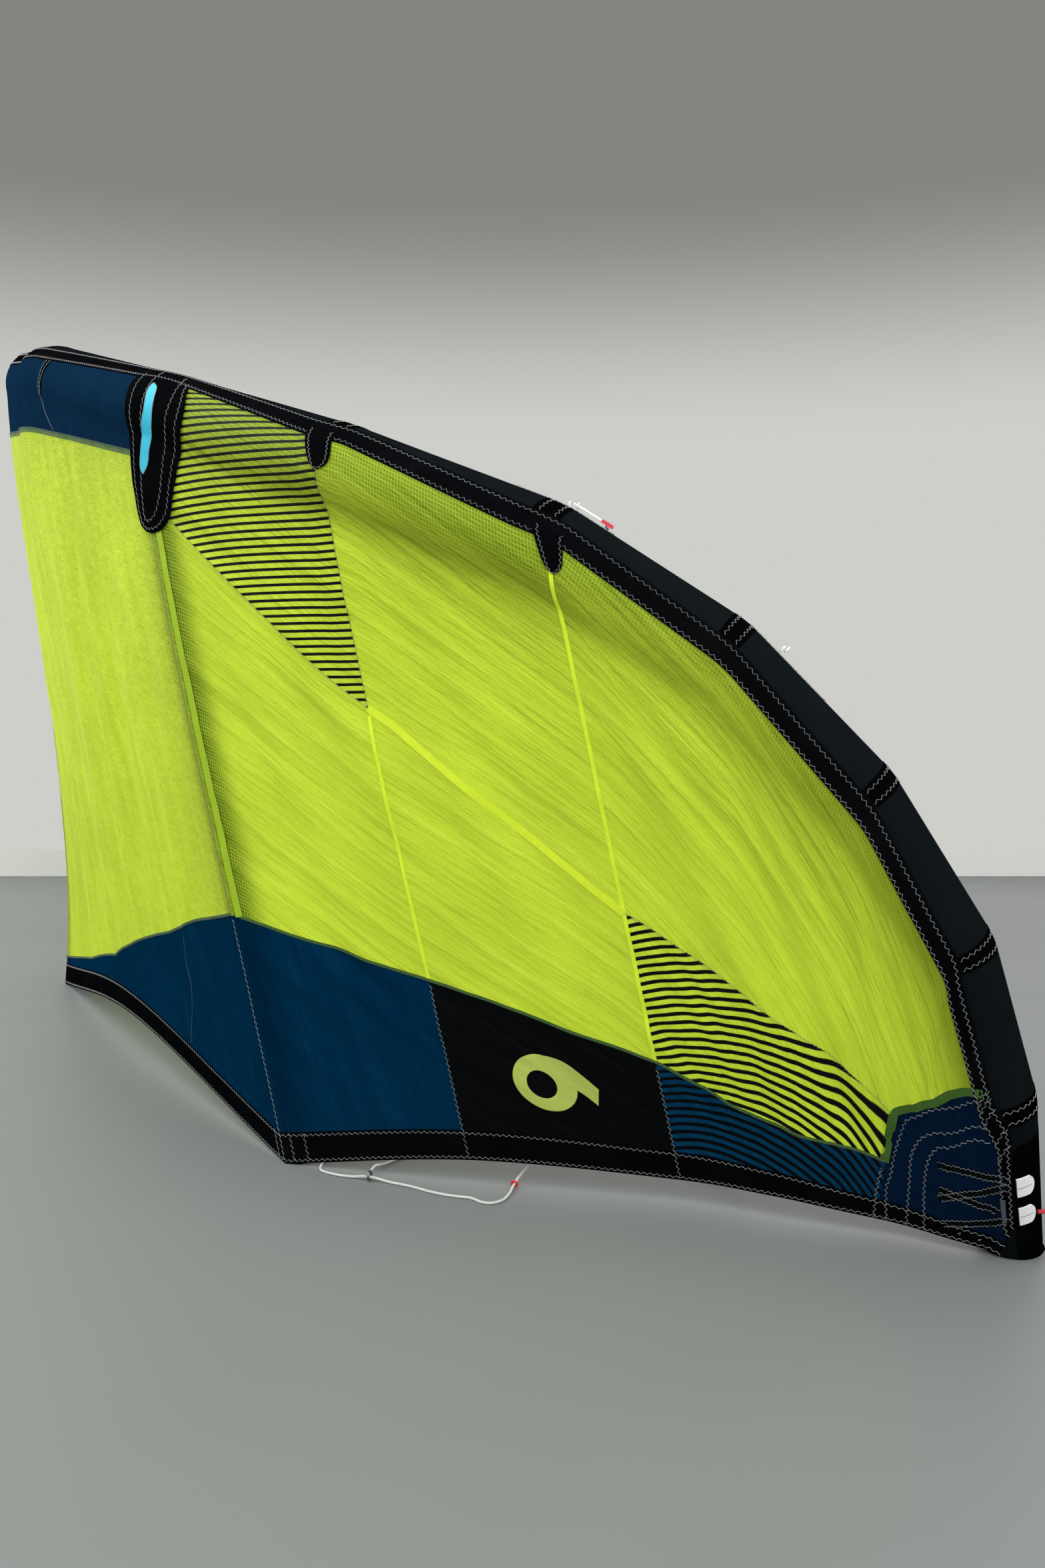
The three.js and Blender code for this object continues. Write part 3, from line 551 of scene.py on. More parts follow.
STATIONS = 9
SIDE_STRUT = 2
SEAM_ONE = 3.0
SEAM_TWO = 4.05
CLOTH_END = 8.7
AIM_END = 7.5
LEADING = np.array([
    (0, 25, 1760), (700, 136, 1655), (1335, 437, 1467), (1726, 735, 1317), (1962, 1041, 1168),
    (2088, 1291, 990), (2170, 1494, 770), (2210, 1648, 526), (2221, 1733, 284), (2165, 1813, 0),
], float)
TRAILING = np.array([
    (0, 0, 0), (740, 265, 95), (1545, 620, 0), (1718, 958, 47), (1881, 1308, 45),
    (1980, 1450, 44), (2048, 1555, 35), (2100, 1640, 26), (2160, 1711, 17), (2215, 1796, 3),
], float)
RADIUS = (100, 95, 89, 85, 82, 79, 75, 72, 63, 50)
SEAM_ANGLE = (50, 66, 84, 72, 57, 43, 29, 15, 4, -6)
LEAVE_ANGLE = (24, 36, 49, 43, 35, 27, 19, 11, 0, -10)
DRAW = (0.06, 0.075, 0.07, 0.03, 0.01, 0.01, 0.02, 0.05, 0.05, 0.06)
CAMBER = (-9, -3, 1, 1, 1, 1, 1, 1, 1, 1)
STRIP_WIDTH = 44.0
SKIN_RISE = 3.0
TIP_RISE = 3.5
ARC_POINTS = 5
CURVE_POINTS = 40
AXIS_STEP = 0.05
FOLDS = (
    ((0.45, 0.14), (0.3, 0.94), 60, 9), ((0.85, 0.16), (0.72, 0.92), 52, -12),
    ((1.2, 0.13), (1.02, 0.9), 48, 12), ((1.55, 0.15), (1.32, 0.84), 44, -9),
    ((1.75, 0.2), (1.62, 0.98), 40, 10), ((2.15, 0.25), (2.75, 0.95), 50, -8),
    ((2.35, 0.08), (3.4, 0.72), 58, 8), ((3.08, 0.16), (3.85, 0.62), 50, -7),
    ((3.3, 0.3), (3.8, 0.98), 48, 7), ((4.15, 0.12), (5.4, 0.8), 56, 8),
    ((4.95, 0.22), (6.3, 0.86), 50, -7), ((5.9, 0.14), (6.7, 0.7), 44, 6),
)


def between(values, s):
    return np.interp(s, np.arange(STATIONS + 1), values)


JOINTS = np.vstack([LEADING[1] * (-1, 1, 1), LEADING, 2 * LEADING[-1] - LEADING[-2]])
BEND = 0.08


def straight_lengths(s):
    """Straight tube lengths from joint to joint, with a short bend at each joint."""
    i = np.clip(np.round(s).astype(int), 0, STATIONS)
    f = (s - i)[..., None]
    before, here, after = JOINTS[i], JOINTS[i + 1], JOINTS[i + 2]
    straight = mix(here, np.where(f < 0, before, after), np.abs(f))
    u = np.clip((f + BEND) / (2 * BEND), 0, 1)
    a, b = mix(here, before, BEND), mix(here, after, BEND)
    bend = mix(mix(a, here, u), mix(here, b, u), u)
    return np.where(np.abs(f) < BEND, bend, straight)


def leading_edge(s):
    """The middle of the kite is one curved length; the others are straight."""
    s = np.asarray(s, float)
    curved = smooth(LEADING, s, LEADING[1] * (-1, 1, 1))
    return mix(curved, straight_lengths(s), ease(s, 0.3, 0.9)[..., None])


def trailing_edge(s):
    s = np.asarray(s, float)
    inner = smooth(TRAILING[: SIDE_STRUT + 1], np.minimum(s, SIDE_STRUT))
    outer = smooth(TRAILING[SIDE_STRUT:], np.maximum(s - SIDE_STRUT, 0))
    return np.where((s <= SIDE_STRUT)[..., None], inner, outer)


def tube_frame(s):
    """Centre, direction away from the cloth, direction to the outer side, and radius."""
    step = 0.01
    s = np.asarray(s, float)
    centre = leading_edge(s)
    tangent = unit(leading_edge(s + step) - leading_edge(np.maximum(s - step, 0)))
    tangent = np.where((s < step)[..., None], np.array([1.0, 0, 0]), tangent)
    fwd = centre - trailing_edge(np.minimum(s, AIM_END))
    fwd = unit(fwd - tangent * dot(fwd, tangent))
    out = unit(np.cross(tangent, fwd))
    return centre, fwd, out, between(RADIUS, s)


def around_tube(s, angle, rise=0.0):
    """Points on the tube at angles in radians, and the directions away from its middle."""
    centre, fwd, out, radius = tube_frame(s)
    away = fwd * np.sin(angle)[..., None] + out * np.cos(angle)[..., None]
    return centre + away * (radius + rise)[..., None], away


AXIS_S = np.linspace(0, STATIONS, round(STATIONS / AXIS_STEP) + 1)
AXIS = leading_edge(AXIS_S)


def off_tube(points, first, last, clear):
    """Moves points that are inside the tube, widened by clear, to its surface."""
    i0 = max(int(first / AXIS_STEP), 0)
    i1 = min(int(math.ceil(last / AXIS_STEP)), len(AXIS) - 1)
    a, b = AXIS[i0:i1], AXIS[i0 + 1 : i1 + 1]
    wide = between(RADIUS, AXIS_S) + clear
    line = b - a
    share = np.sum((points[:, None] - a) * line, -1) / np.sum(line * line, -1)
    share = np.clip(share, 0, 1)
    foot = a + line * share[..., None]
    reach = np.linalg.norm(points[:, None] - foot, axis=-1)
    nearest = reach.argmin(1)
    rows = np.arange(len(points))
    foot, reach, share = foot[rows, nearest], reach[rows, nearest], share[rows, nearest]
    radius = mix(wide[i0 + nearest], wide[i0 + nearest + 1], share)
    inside = reach < radius
    away = unit(points - foot)
    return np.where(inside[:, None], foot + away * radius[:, None], points)


def profiles(s):
    """Points down the canopy at each station, from the seam to the trailing edge."""
    centre, fwd, out, radius = tube_frame(s)
    seam, leave = np.radians(between(SEAM_ANGLE, s)), np.radians(between(LEAVE_ANGLE, s))
    angle = mix(seam[:, None], leave[:, None], np.linspace(0, 1, ARC_POINTS))
    away = fwd[:, None] * np.sin(angle)[..., None] + out[:, None] * np.cos(angle)[..., None]
    arc = centre[:, None] + away * (radius + SKIN_RISE)[:, None, None]
    start, end = arc[:, -1], trailing_edge(s)
    length = np.linalg.norm(start - end, axis=-1, keepdims=True)
    up = (start - end) / length
    outward = unit(out - up * dot(out, up))
    camber = np.radians(between(CAMBER, s))[:, None]
    draw = between(DRAW, s)[:, None] * length
    leave = leave[:, None]
    first = start - fwd * np.cos(leave) * draw + out * np.sin(leave) * draw
    second = end + (up * np.cos(camber) + outward * np.sin(camber)) * 0.3 * length
    u = ((np.arange(1, CURVE_POINTS + 1) / CURVE_POINTS) ** 1.5)[None, :, None]
    a, b, c, d = (p[:, None] for p in (start, first, second, end))
    curve = a * (1 - u) ** 3 + 3 * b * u * (1 - u) ** 2 + 3 * c * u**2 * (1 - u) + d * u**3
    return np.concatenate([arc, curve], 1)


TABLE_STEP = 0.02
TABLE_ROWS = 257
TABLE_S = np.linspace(0, STATIONS, round(STATIONS / TABLE_STEP) + 1)
TABLE_T = np.linspace(0, 1, TABLE_ROWS)


def make_table():
    """The canopy's middle surface and its normals over stations and chord shares."""
    clear_at = SKIN_RISE + TIP_RISE * np.maximum(TABLE_S - 8, 0)
    points = np.empty((len(TABLE_S), TABLE_ROWS, 3))
    total = np.empty(len(TABLE_S))
    for i, (s, line) in enumerate(zip(TABLE_S, profiles(TABLE_S))):
        line = off_tube(line, s - 0.4, STATIONS if s > 6 else s + 0.4, clear_at[i])
        lengths = lengths_along(line)
        total[i] = lengths[-1]
        for axis in range(3):
            points[i, :, axis] = np.interp(TABLE_T * total[i], lengths, line[:, axis])
    padded = np.concatenate([points[1:2] * (-1, 1, 1), points, 2 * points[-1:] - points[-2:-1]])
    across = padded[2:] - padded[:-2]
    down = np.gradient(points, axis=1)
    return points, unit(np.cross(down, across)), total


SKIN, NORMALS, TOTALS = make_table()


def total(s):
    return np.interp(np.abs(s), TABLE_S, TOTALS)


SPACING = np.linalg.norm(np.diff(LEADING, axis=0), axis=1)


def fold_height(s, t):
    height = np.zeros(np.broadcast(s, t).shape)
    spacing = SPACING[np.minimum(np.floor(s).astype(int), STATIONS - 1)]
    for start, end, width, top in FOLDS:
        share = (t - start[1]) / (end[1] - start[1])
        away = (s - mix(start[0], end[0], share)) * spacing
        bell = np.sin(math.pi * np.clip(share, 0, 1)) * np.exp(-((away / width) ** 2))
        height += top * bell
    return height


NOISE = np.random.default_rng(7).uniform(-1, 1, (128, 128))


def noise(x, y):
    """Smooth noise from -1 to 1, one cell per unit."""
    i, j = np.floor(x).astype(int), np.floor(y).astype(int)
    f, g = ease(x - i, 0, 1), ease(y - j, 0, 1)
    a = mix(NOISE[i % 128, j % 128], NOISE[(i + 1) % 128, j % 128], f)
    b = mix(NOISE[i % 128, (j + 1) % 128], NOISE[(i + 1) % 128, (j + 1) % 128], f)
    return mix(a, b, g)


UPRIGHT = ((3.6, 52, 420, 0), (1.7, 21, 170, 9))
SLANTING = ((2.4, 50, 420, 0), (1.0, 22, 190, 5))
SLANT = math.radians(14)


def wrinkles(kinds, across, along):
    """Wrinkles of some heights, widths and lengths, added up."""
    return sum(h * noise(across / width + shift, along / length) for h, width, length, shift in kinds)


def crinkle(s, t):
    """Fine wrinkles: upright ones in the inner bay, slanting ones beyond the side strut."""
    x = s * 560.0
    y = t * total(s)
    upright = wrinkles(UPRIGHT, x + 0.16 * y, y)
    along = x * math.cos(SLANT) + y * math.sin(SLANT)
    slanting = wrinkles(SLANTING, y * math.cos(SLANT) - x * math.sin(SLANT), along)
    inner = 1 - ease(s, 1.9, 2.1)
    fine = 0.6 * noise(x / 33 + 40, y / 33 + 17)
    held = ease(y, 50, 160) * ease(total(s) - y, 60, 190)
    held = held * (0.2 + 0.8 * ease(np.abs(s - SIDE_STRUT), 0.0, 0.08))
    return held * (inner * upright + (1 - inner) * slanting + fine)


def table_place(s, t):
    """Where a station and a chord share fall in the canopy's table."""
    u = np.clip(np.abs(s) / TABLE_STEP, 0, len(TABLE_S) - 1.0001)
    return u, np.clip(t * (TABLE_ROWS - 1), 0, TABLE_ROWS - 1.0001)


def cloth(s, t, lift=0.0):
    """Points of the cloth, lifted off the canopy's middle surface, and their normals."""
    s, t, lift = np.broadcast_arrays(np.asarray(s, float), np.asarray(t, float), lift)
    at = np.abs(s)
    u, v = table_place(s, t)
    i, j = u.astype(int), v.astype(int)
    f, g = (u - i)[..., None], (v - j)[..., None]

    def read(table):
        low = mix(table[i, j], table[i + 1, j], f)
        return mix(low, mix(table[i, j + 1], table[i + 1, j + 1], f), g)

    normals = unit(read(NORMALS))
    points = read(SKIN) + normals * (lift + fold_height(at, t) + crinkle(at, t))[..., None]
    turned = np.where(s < 0, -1.0, 1.0)[..., None] * (1.0, 0, 0) + (0, 1.0, 1.0)
    points = points * turned
    points[..., 2] = np.maximum(points[..., 2], 0)
    return points, normals * turned


# Seam lines, as a share of the profile's length at a station

def through(*knots):
    stations, shares = zip(*knots)
    return lambda s: np.interp(s, stations, shares)


seam_line = through((0, 0.0), (9, 0.0))
hem_line = through((0, 1.0), (9, 1.0))
navy_line = through((0, 0.13), (9, 0.13))


def strip_line(s):
    return np.minimum(STRIP_WIDTH / total(s), 0.42)


def hem_top(s):
    width = np.interp(s, (0, 4, 6, 8, 9), (64, 62, 46, 36, 34))
    return np.maximum(1 - width / total(s), 0.58)


diagonal = through((2, 0.185), (3, 0.37), (4.05, 0.56), (5.25, 0.62), (6.65, 0.63), (9, 0.63))
blue_inner_line = through(
    (0, 0.956), (0.5, 0.945), (0.88, 0.92), (1.1, 0.88), (1.48, 0.804), (1.73, 0.743), (2, 0.69)
)
blue_outer_line = through((2, 0.69), (3, 0.74), (4.05, 0.8), (4.7, 0.84), (5.45, 0.85), (6.65, 0.8))


def between_lines(a, b, share):
    return lambda s: mix(a(s), b(s), share)


TIP_EDGE = (
    (7.83, 0.05), (7.56, 0.236), (7.25, 0.431), (6.94, 0.549), (6.69, 0.625), (6.64, 0.798), (6.58, 1.0)
)


def tip_station(t):
    """The station of the wingtip patch's edge at a chord share."""
    stations, shares = zip(*TIP_EDGE)
    if t < shares[0]:
        slope = (stations[1] - stations[0]) / (shares[1] - shares[0])
        return stations[0] + (t - shares[0]) * slope
    return float(np.interp(t, shares, stations))


def meet_tip(line):
    """The station at which a seam line meets the wingtip patch."""
    low, high = SEAM_TWO, CLOTH_END
    for _ in range(30):
        s = (low + high) / 2
        if s < tip_station(float(line(s))):
            low = s
        else:
            high = s
    return low


# Panels of cloth

CELL = 11.0
TIP_GRID = (90, 84)
TIP_MIDDLE = 7.0


def rows_between(top, bottom, rows):
    return [between_lines(top, bottom, share) for share in np.linspace(0, 1, rows)]


def spread(lines, starts, ends, columns):
    """Stations and chord shares of points spaced evenly along rows."""
    s = np.array([np.linspace(start, end, columns) for start, end in zip(starts, ends)])
    return s, np.array([line(row) for line, row in zip(lines, s)])


def panel_grid(start, stop, top, bottom):
    """A panel's points. stop is a station, or None where the tip patch ends the panel."""
    middle = 0.5 * (start + (stop or TIP_MIDDLE))
    rows = int((bottom(middle) - top(middle)) * total(middle) / CELL) + 2
    lines = rows_between(top, bottom, rows)
    ends = [stop if stop is not None else meet_tip(line) for line in lines]
    wide = max(
        np.linalg.norm(np.subtract(*cloth([end, start], [edge(end), edge(start)])[0]))
        for edge, end in ((top, ends[0]), (bottom, ends[-1]))
    )
    return spread(lines, [start] * rows, ends, int(wide / CELL) + 2)


def tip_grid():
    """The wingtip patch's points."""
    rows, columns = TIP_GRID
    lines = rows_between(strip_line, hem_top, rows)
    return spread(lines, [meet_tip(line) for line in lines], [CLOTH_END] * rows, columns)


def cloth_uv(points, s, t):
    """Distances along the rows from the middle column, and down the profile."""
    steps = np.linalg.norm(np.diff(points, axis=1), axis=-1)
    along = np.concatenate([np.zeros((len(points), 1)), np.cumsum(steps, 1)], 1)
    along -= along[:, along.shape[1] // 2][:, None]
    return np.stack([along, t * total(s)], -1)


def shadow_behind(s, t):
    """How much painted shadow of the dark tube or strut behind the cloth to put on it."""
    down = t * total(s)
    outward = ease(s, 3.7, 4.7)
    reach = ease(down, mix(55, 25, outward), mix(230, 125, outward))
    tube = 0.75 * (1 - reach) * ease(s, 1.9, 2.3)
    tube = np.maximum(tube, 0.35 * (1 - ease(down, 40, 110)))
    width = np.where(s < SIDE_STRUT, 800.0, mix(560.0, 350.0, t))
    away = (s - SIDE_STRUT) * width
    side = np.where(away > 0, 0.95 * (1 - ease(away, 22, 95)), 0.35 * (1 - ease(-away, 8, 40)))
    centre = 0.5 * (1 - ease(s * 700.0, 25, 70))
    return np.clip(np.maximum(np.maximum(tube, side), centre), 0, 1)


def add_panel(name, paint, s, t):
    points, _ = cloth(s, t)
    pieces = pair(
        "cloth_" + name,
        points.reshape(-1, 3),
        grid_faces(*s.shape),
        paint,
        ["canopy_" + name],
        uv=cloth_uv(points, s, t).reshape(-1, 2),
        # Painted shade of the tube and struts behind this panel.
        behind=shadow_behind(s, t),
    )


def add_canopy():
    panels = (
        ("navy_inner", "navy_light", 0.0, SIDE_STRUT, strip_line, navy_line),
        ("lime_inner", "lime_crumpled", 0.0, SIDE_STRUT, navy_line, blue_inner_line),
        ("blue_inner", "blue", 0.0, SIDE_STRUT, blue_inner_line, hem_top),
        ("striped_upper", "lime_striped", SIDE_STRUT, SEAM_ONE, strip_line, diagonal),
        ("lime_one", "lime", SIDE_STRUT, SEAM_ONE, diagonal, blue_outer_line),
        ("blue_outer", "blue", SIDE_STRUT, SEAM_ONE, blue_outer_line, hem_top),
        ("lime_two", "lime", SEAM_ONE, SEAM_TWO, strip_line, blue_outer_line),
        ("black", "black", SEAM_ONE, SEAM_TWO, blue_outer_line, hem_top),
        ("lime_three", "lime", SEAM_TWO, None, strip_line, diagonal),
        ("striped_lower", "lime_striped_low", SEAM_TWO, None, diagonal, blue_outer_line),
        ("striped_blue", "blue_striped", SEAM_TWO, None, blue_outer_line, hem_top),
    )
    for name, paint, start, stop, top, bottom in panels:
        add_panel(name, paint, *panel_grid(start, stop, top, bottom))
    add_panel("navy_tip", "navy", *tip_grid())


def shell(outer, inner, s, t):
    """Points, faces and measure of a closed sheet between two grids of points."""
    uv = cloth_uv(outer, s, t).reshape(-1, 2)
    points = np.concatenate([outer.reshape(-1, 3), inner.reshape(-1, 3)])
    points[:, 2] = np.maximum(points[:, 2], 0)
    return points, closed_faces(*s.shape), np.concatenate([uv, uv])


def closed_sheet(s, t, lift, thickness):
    """A closed sheet laid on the cloth."""
    outer, inner = (cloth(s, t, lift + side * thickness * 0.5)[0] for side in (1, -1))
    return shell(outer, inner, s, t)


BAND_THICKNESS = 1.8


def band_stations():
    """Stations evenly spaced along the kite, the seams' own stations among them."""
    marks = (0, 1, SIDE_STRUT, SEAM_ONE, SEAM_TWO, 5, 6, 7, 8, CLOTH_END)
    made = [np.array([0.0])]
    for a, b in zip(marks, marks[1:]):
        count = int(np.linalg.norm(leading_edge(b) - leading_edge(a)) / CELL) + 1
        made.append(np.linspace(a, b, count + 1)[1:])
    return np.concatenate(made)


def add_band(name, node_name, top, bottom, rows):
    stations = band_stations()
    s = np.tile(stations, (rows, 1))
    t = np.array([mix(top(stations), bottom(stations), share) for share in np.linspace(0, 1, rows)])
    points, faces, uv = closed_sheet(s, t, 0.0, BAND_THICKNESS)
    for piece in pair(name, points, faces, "band", [node_name], uv=uv):
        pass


add_canopy()
add_band("band_strip", "edge_strip", seam_line, strip_line, 5)
add_band("band_hem", "hem_band", hem_top, hem_line, 7)


# Tubes and struts

TUBE_SIDES = 48


def tube_rings(stations):
    """Rings of points round the tube, none of them below the floor."""
    s = np.repeat(stations[:, None], TUBE_SIDES, 1)
    points, _ = around_tube(np.abs(s), np.broadcast_to(round_angles(TUBE_SIDES), s.shape))
    points[stations < 0] *= (-1, 1, 1)
    points[..., 2] = np.maximum(points[..., 2], 0)
    return points


def ring_uv(points):
    """Distances along the tube and round it."""
    steps = np.linalg.norm(np.diff(points, axis=0), axis=-1).mean(1)
    along = np.r_[0, np.cumsum(steps)]
    around = np.linalg.norm(points[:, 1] - points[:, 0], axis=-1)
    columns = np.arange(points.shape[1])
    return np.stack([np.repeat(along[:, None], len(columns), 1), np.outer(around, columns)], -1)


def tube_piece(maker, name, rings, nodes, back=1):
    """A closed tube through rings of points. back is -1 where the rings run the other way round."""
    faces = [face[::back] for face in loft_faces(*rings.shape[:2])]
    maker(name, rings.reshape(-1, 3), faces, "tube", nodes, uv=ring_uv(rings).reshape(-1, 2))


def add_tubes():
    rings = tube_rings(np.linspace(-0.9995, 0.9995, 90))
    tube_piece(mesh_piece, "tube_centre", rings, ["leading_edge_centre"])
    for i in range(1, STATIONS):
        end = i + 1.12 if i + 1 == STATIONS else i + 0.9995
        stations = np.r_[
            np.linspace(i + 0.0005, i + BEND, 9),
            np.linspace(i + BEND, i + 1 - BEND, 24)[1:],
            np.linspace(i + 1 - BEND, end, 9)[1:],
        ]
        tube_piece(pair, f"tube_{i}", tube_rings(stations), [f"leading_edge_{i}"])


STRUT_HEAD = 54.0
STRUT_TAIL = 27.0
STRUT_START = 0.03
STRUT_CLEAR = 1.8
STRUT_RINGS = 110
STRUT_SIDES = 36
STRUT_FOOT = 40.0
HEAD_RINGS = 14
HEAD_CLEAR = 0.6


def plain_normal(s, t):
    """The canopy's normal without folds."""
    u, v = table_place(s, t)
    normal = NORMALS[np.round(u).astype(int), np.round(v).astype(int)]
    return normal * (-1, 1, 1) if s < 0 else normal


def plain_skin(s, t):
    u, v = table_place(s, t)
    i, j = int(round(u)), int(v)
    return mix(SKIN[i, j], SKIN[i, j + 1], v - j)


def strut_rings(station):
    """Rings of a strut along the inner face of the cloth."""
    rings = []
    angles = round_angles(STRUT_SIDES)
    for t in np.linspace(STRUT_START, 1, STRUT_RINGS):
        radius = mix(STRUT_HEAD, STRUT_TAIL, t)
        inward = -0.5 * (plain_normal(station - 0.04, t) + plain_normal(station + 0.04, t))
        wedge = np.linalg.norm(inward)
        inward = inward / wedge
        along = unit(plain_skin(station, min(t + 0.01, 1)) - plain_skin(station, max(t - 0.01, 0)))
        side = unit(np.cross(along, inward))
        centre = plain_skin(station, t) + inward * (radius + 0.8 + STRUT_CLEAR) / wedge
        if t == 1:
            centre = centre + along * STRUT_FOOT
        rings.append(centre + radius * (np.outer(np.cos(angles), side) + np.outer(np.sin(angles), inward)))
    return np.array(rings)


def add_strut(maker, name, station, nodes):
    rings = strut_rings(station)
    for r in range(HEAD_RINGS):
        rings[r] = off_tube(rings[r], max(station - 1, 0), station + 1, HEAD_CLEAR)
    rings[..., 2] = np.maximum(rings[..., 2], 0)
    tube_piece(maker, name, rings, nodes, back=-1)


add_tubes()
add_strut(mesh_piece, "tube_strut_centre", 0, ["strut_centre"])
add_strut(pair, "tube_strut_side", SIDE_STRUT, ["strut_side"])


# Patches laid on the cloth

PATH_SCALE = np.array([400.0, 1500.0])


def evenly(line, count):
    """Points spaced evenly along a path of stations and chord shares."""
    gaps = lengths_along(line, PATH_SCALE)
    at = np.linspace(0, gaps[-1], count)
    return np.stack([np.interp(at, gaps, line[:, k]) for k in range(2)], -1)


def on_cloth(line, lift, step=6.0):
    """Points and normals along a path of stations and chord shares."""
    line = np.asarray(line, float)
    line = evenly(line, max(int(lengths_along(line, PATH_SCALE)[-1] / step), 3))
    return cloth(line[:, 0], line[:, 1], lift)


def line_path(line, start, stop, down=0.0):
    """A path along a seam line, moved down the cloth by some millimetres."""
    s = np.linspace(start, stop, max(int(abs(stop - start) * 60), 8))
    return np.stack([s, line(s) + down / total(s)], -1)


def inset(left, right, share):
    """A U-shaped path inside a patch, some share of its width from the edges."""
    left, right = path(left), path(right)
    return np.vstack([mix(left, right, share), mix(left, right, 1 - share)[::-1]])


class Batch:
    """Many small closed shapes in one piece."""

    def __init__(self):
        self.points, self.faces, self.uv = [], [], []
        self.count = 0

    def add(self, points, faces, uv=None):
        self.points.append(points)
        self.faces += [tuple(i + self.count for i in face) for face in faces]
        self.uv.append(np.zeros((len(points), 2)) if uv is None else uv)
        self.count += len(points)

    def pair(self, name, paint, nodes=()):
        points, uv = np.concatenate(self.points), np.concatenate(self.uv)
        return pair(name, points, self.faces, paint, nodes, uv=uv, sharp=60.0)


def add_leaf(batch, left, right, lift, thickness, rows=24, columns=9):
    """A patch between two edges that run the same way."""
    left, right = evenly(path(left), rows), evenly(path(right), rows)
    grid = mix(left[:, None], right[:, None], np.linspace(0, 1, columns)[None, :, None])
    batch.add(*closed_sheet(grid[..., 0], grid[..., 1], lift, thickness))


def resampled(points, normals, step):
    lengths = lengths_along(points)
    at = np.linspace(0, lengths[-1], max(int(round(lengths[-1] / step)), 1) + 1)
    new = [np.stack([np.interp(at, lengths, v[:, k]) for k in range(3)], -1) for v in (points, normals)]
    return new[0], unit(new[1])


def ribbon(batch, points, normals, width, thickness=0.5):
    """A thin band laid along a line of points."""
    points, normals = resampled(points, normals, 8.0)
    side = aside(points, normals) * width * 0.5
    inner = np.stack([points - side, points + side], 1)
    outer = inner + (normals * thickness)[:, None]
    uv = np.stack(np.broadcast_arrays(lengths_along(points)[:, None], (0.0, width)), -1)
    both = np.concatenate([outer.reshape(-1, 3), inner.reshape(-1, 3)])
    batch.add(both, closed_faces(len(points), 2), np.concatenate([uv.reshape(-1, 2)] * 2))


# Sewing

STITCH = 12.0
SWING = 4.8
THREAD_RADIUS = 0.48


def strand(batch, points, normals, radius=THREAD_RADIUS):
    """A thread laid on the surface along a line of points."""
    side = aside(points, normals) * radius
    ring = np.stack([points - side, points + side, points + normals * radius * 1.5], 1)
    faces = [(face[0], *face[:0:-1]) for face in loft_faces(len(points), 3)]
    batch.add(ring.reshape(-1, 3), faces)


def zigzag(batch, points, normals, swing=SWING, period=STITCH, radius=THREAD_RADIUS):
    points, normals = resampled(points, normals, period * 0.5)
    swings = np.where(np.arange(len(points)) % 2, 0.5, -0.5)[:, None] * swing
    strand(batch, points + aside(points, normals) * swings, normals, radius)


def on_tube(s, degrees, rise):
    """Points on the tube and the directions away from its middle."""
    return around_tube(*np.broadcast_arrays(np.asarray(s, float), np.radians(degrees)), rise)


def tube_sheet(batch, s, degrees, low, high):
    """A closed sheet round the tube."""
    s, degrees = np.broadcast_arrays(s, degrees)
    batch.add(*shell(on_tube(s, degrees, high)[0], on_tube(s, degrees, low)[0], s, s * 0.1))


JOINT_BAND = 0.05
JOINT_ROW = 0.028
CURVED_ROWS = (7.82, 7.87, 7.94, 8.05, 8.15)


def add_joint_bands():
    batch = Batch()
    for station in range(1, STATIONS):
        s = np.linspace(station - JOINT_BAND, station + JOINT_BAND, 7)[:, None]
        tube_sheet(batch, s, np.linspace(SEAM_ANGLE[station] + 2, 215, 48), 0.25, 0.9)
    batch.pair("joint_bands", "boot")


def add_edge_sewing():
    """Rows along the strip and the hem, and over each joint of the tube."""
    batch = Batch()
    for line, down in ((seam_line, 7), (strip_line, -6), (hem_top, 6), (hem_line, -6)):
        zigzag(batch, *on_cloth(line_path(line, 0.0, CLOTH_END, down), 1.1))
    for station in range(1, STATIONS):
        for row in (station - JOINT_ROW, station + JOINT_ROW):
            zigzag(batch, *on_tube(row, np.linspace(between(SEAM_ANGLE, row) + 3, 200, 60), 1.2))
    for station in CURVED_ROWS:
        zigzag(batch, *on_cloth([(station, 0.004), (station, strip_line(station))], 1.1), swing=4)
    batch.pair("sewing_edges", "thread")


def loop(batch, station, angle, rise, size, radius):
    """A small ring of cord that stands on the tube."""
    middle, normal = on_tube([station], [angle], rise)
    along = unit(np.cross(normal, [0.0, 0.0, 1.0]))
    turn = np.linspace(0, 2 * math.pi, 17)[:, None]
    points = middle + size * (np.cos(turn) * along + np.sin(turn) * normal)
    strand(batch, points, np.repeat(np.cross(along, normal), 17, 0), radius)


PATCHES = ((3.81, 4.25), (5.02, 5.53))
PATCH_ANGLES = (95.0, 114.0)
LOOP_ANGLE = 104.0
LOOPS = ((4.02, 5.0), (4.05, 9.0), (5.2, 9.0), (5.22, 13.0))


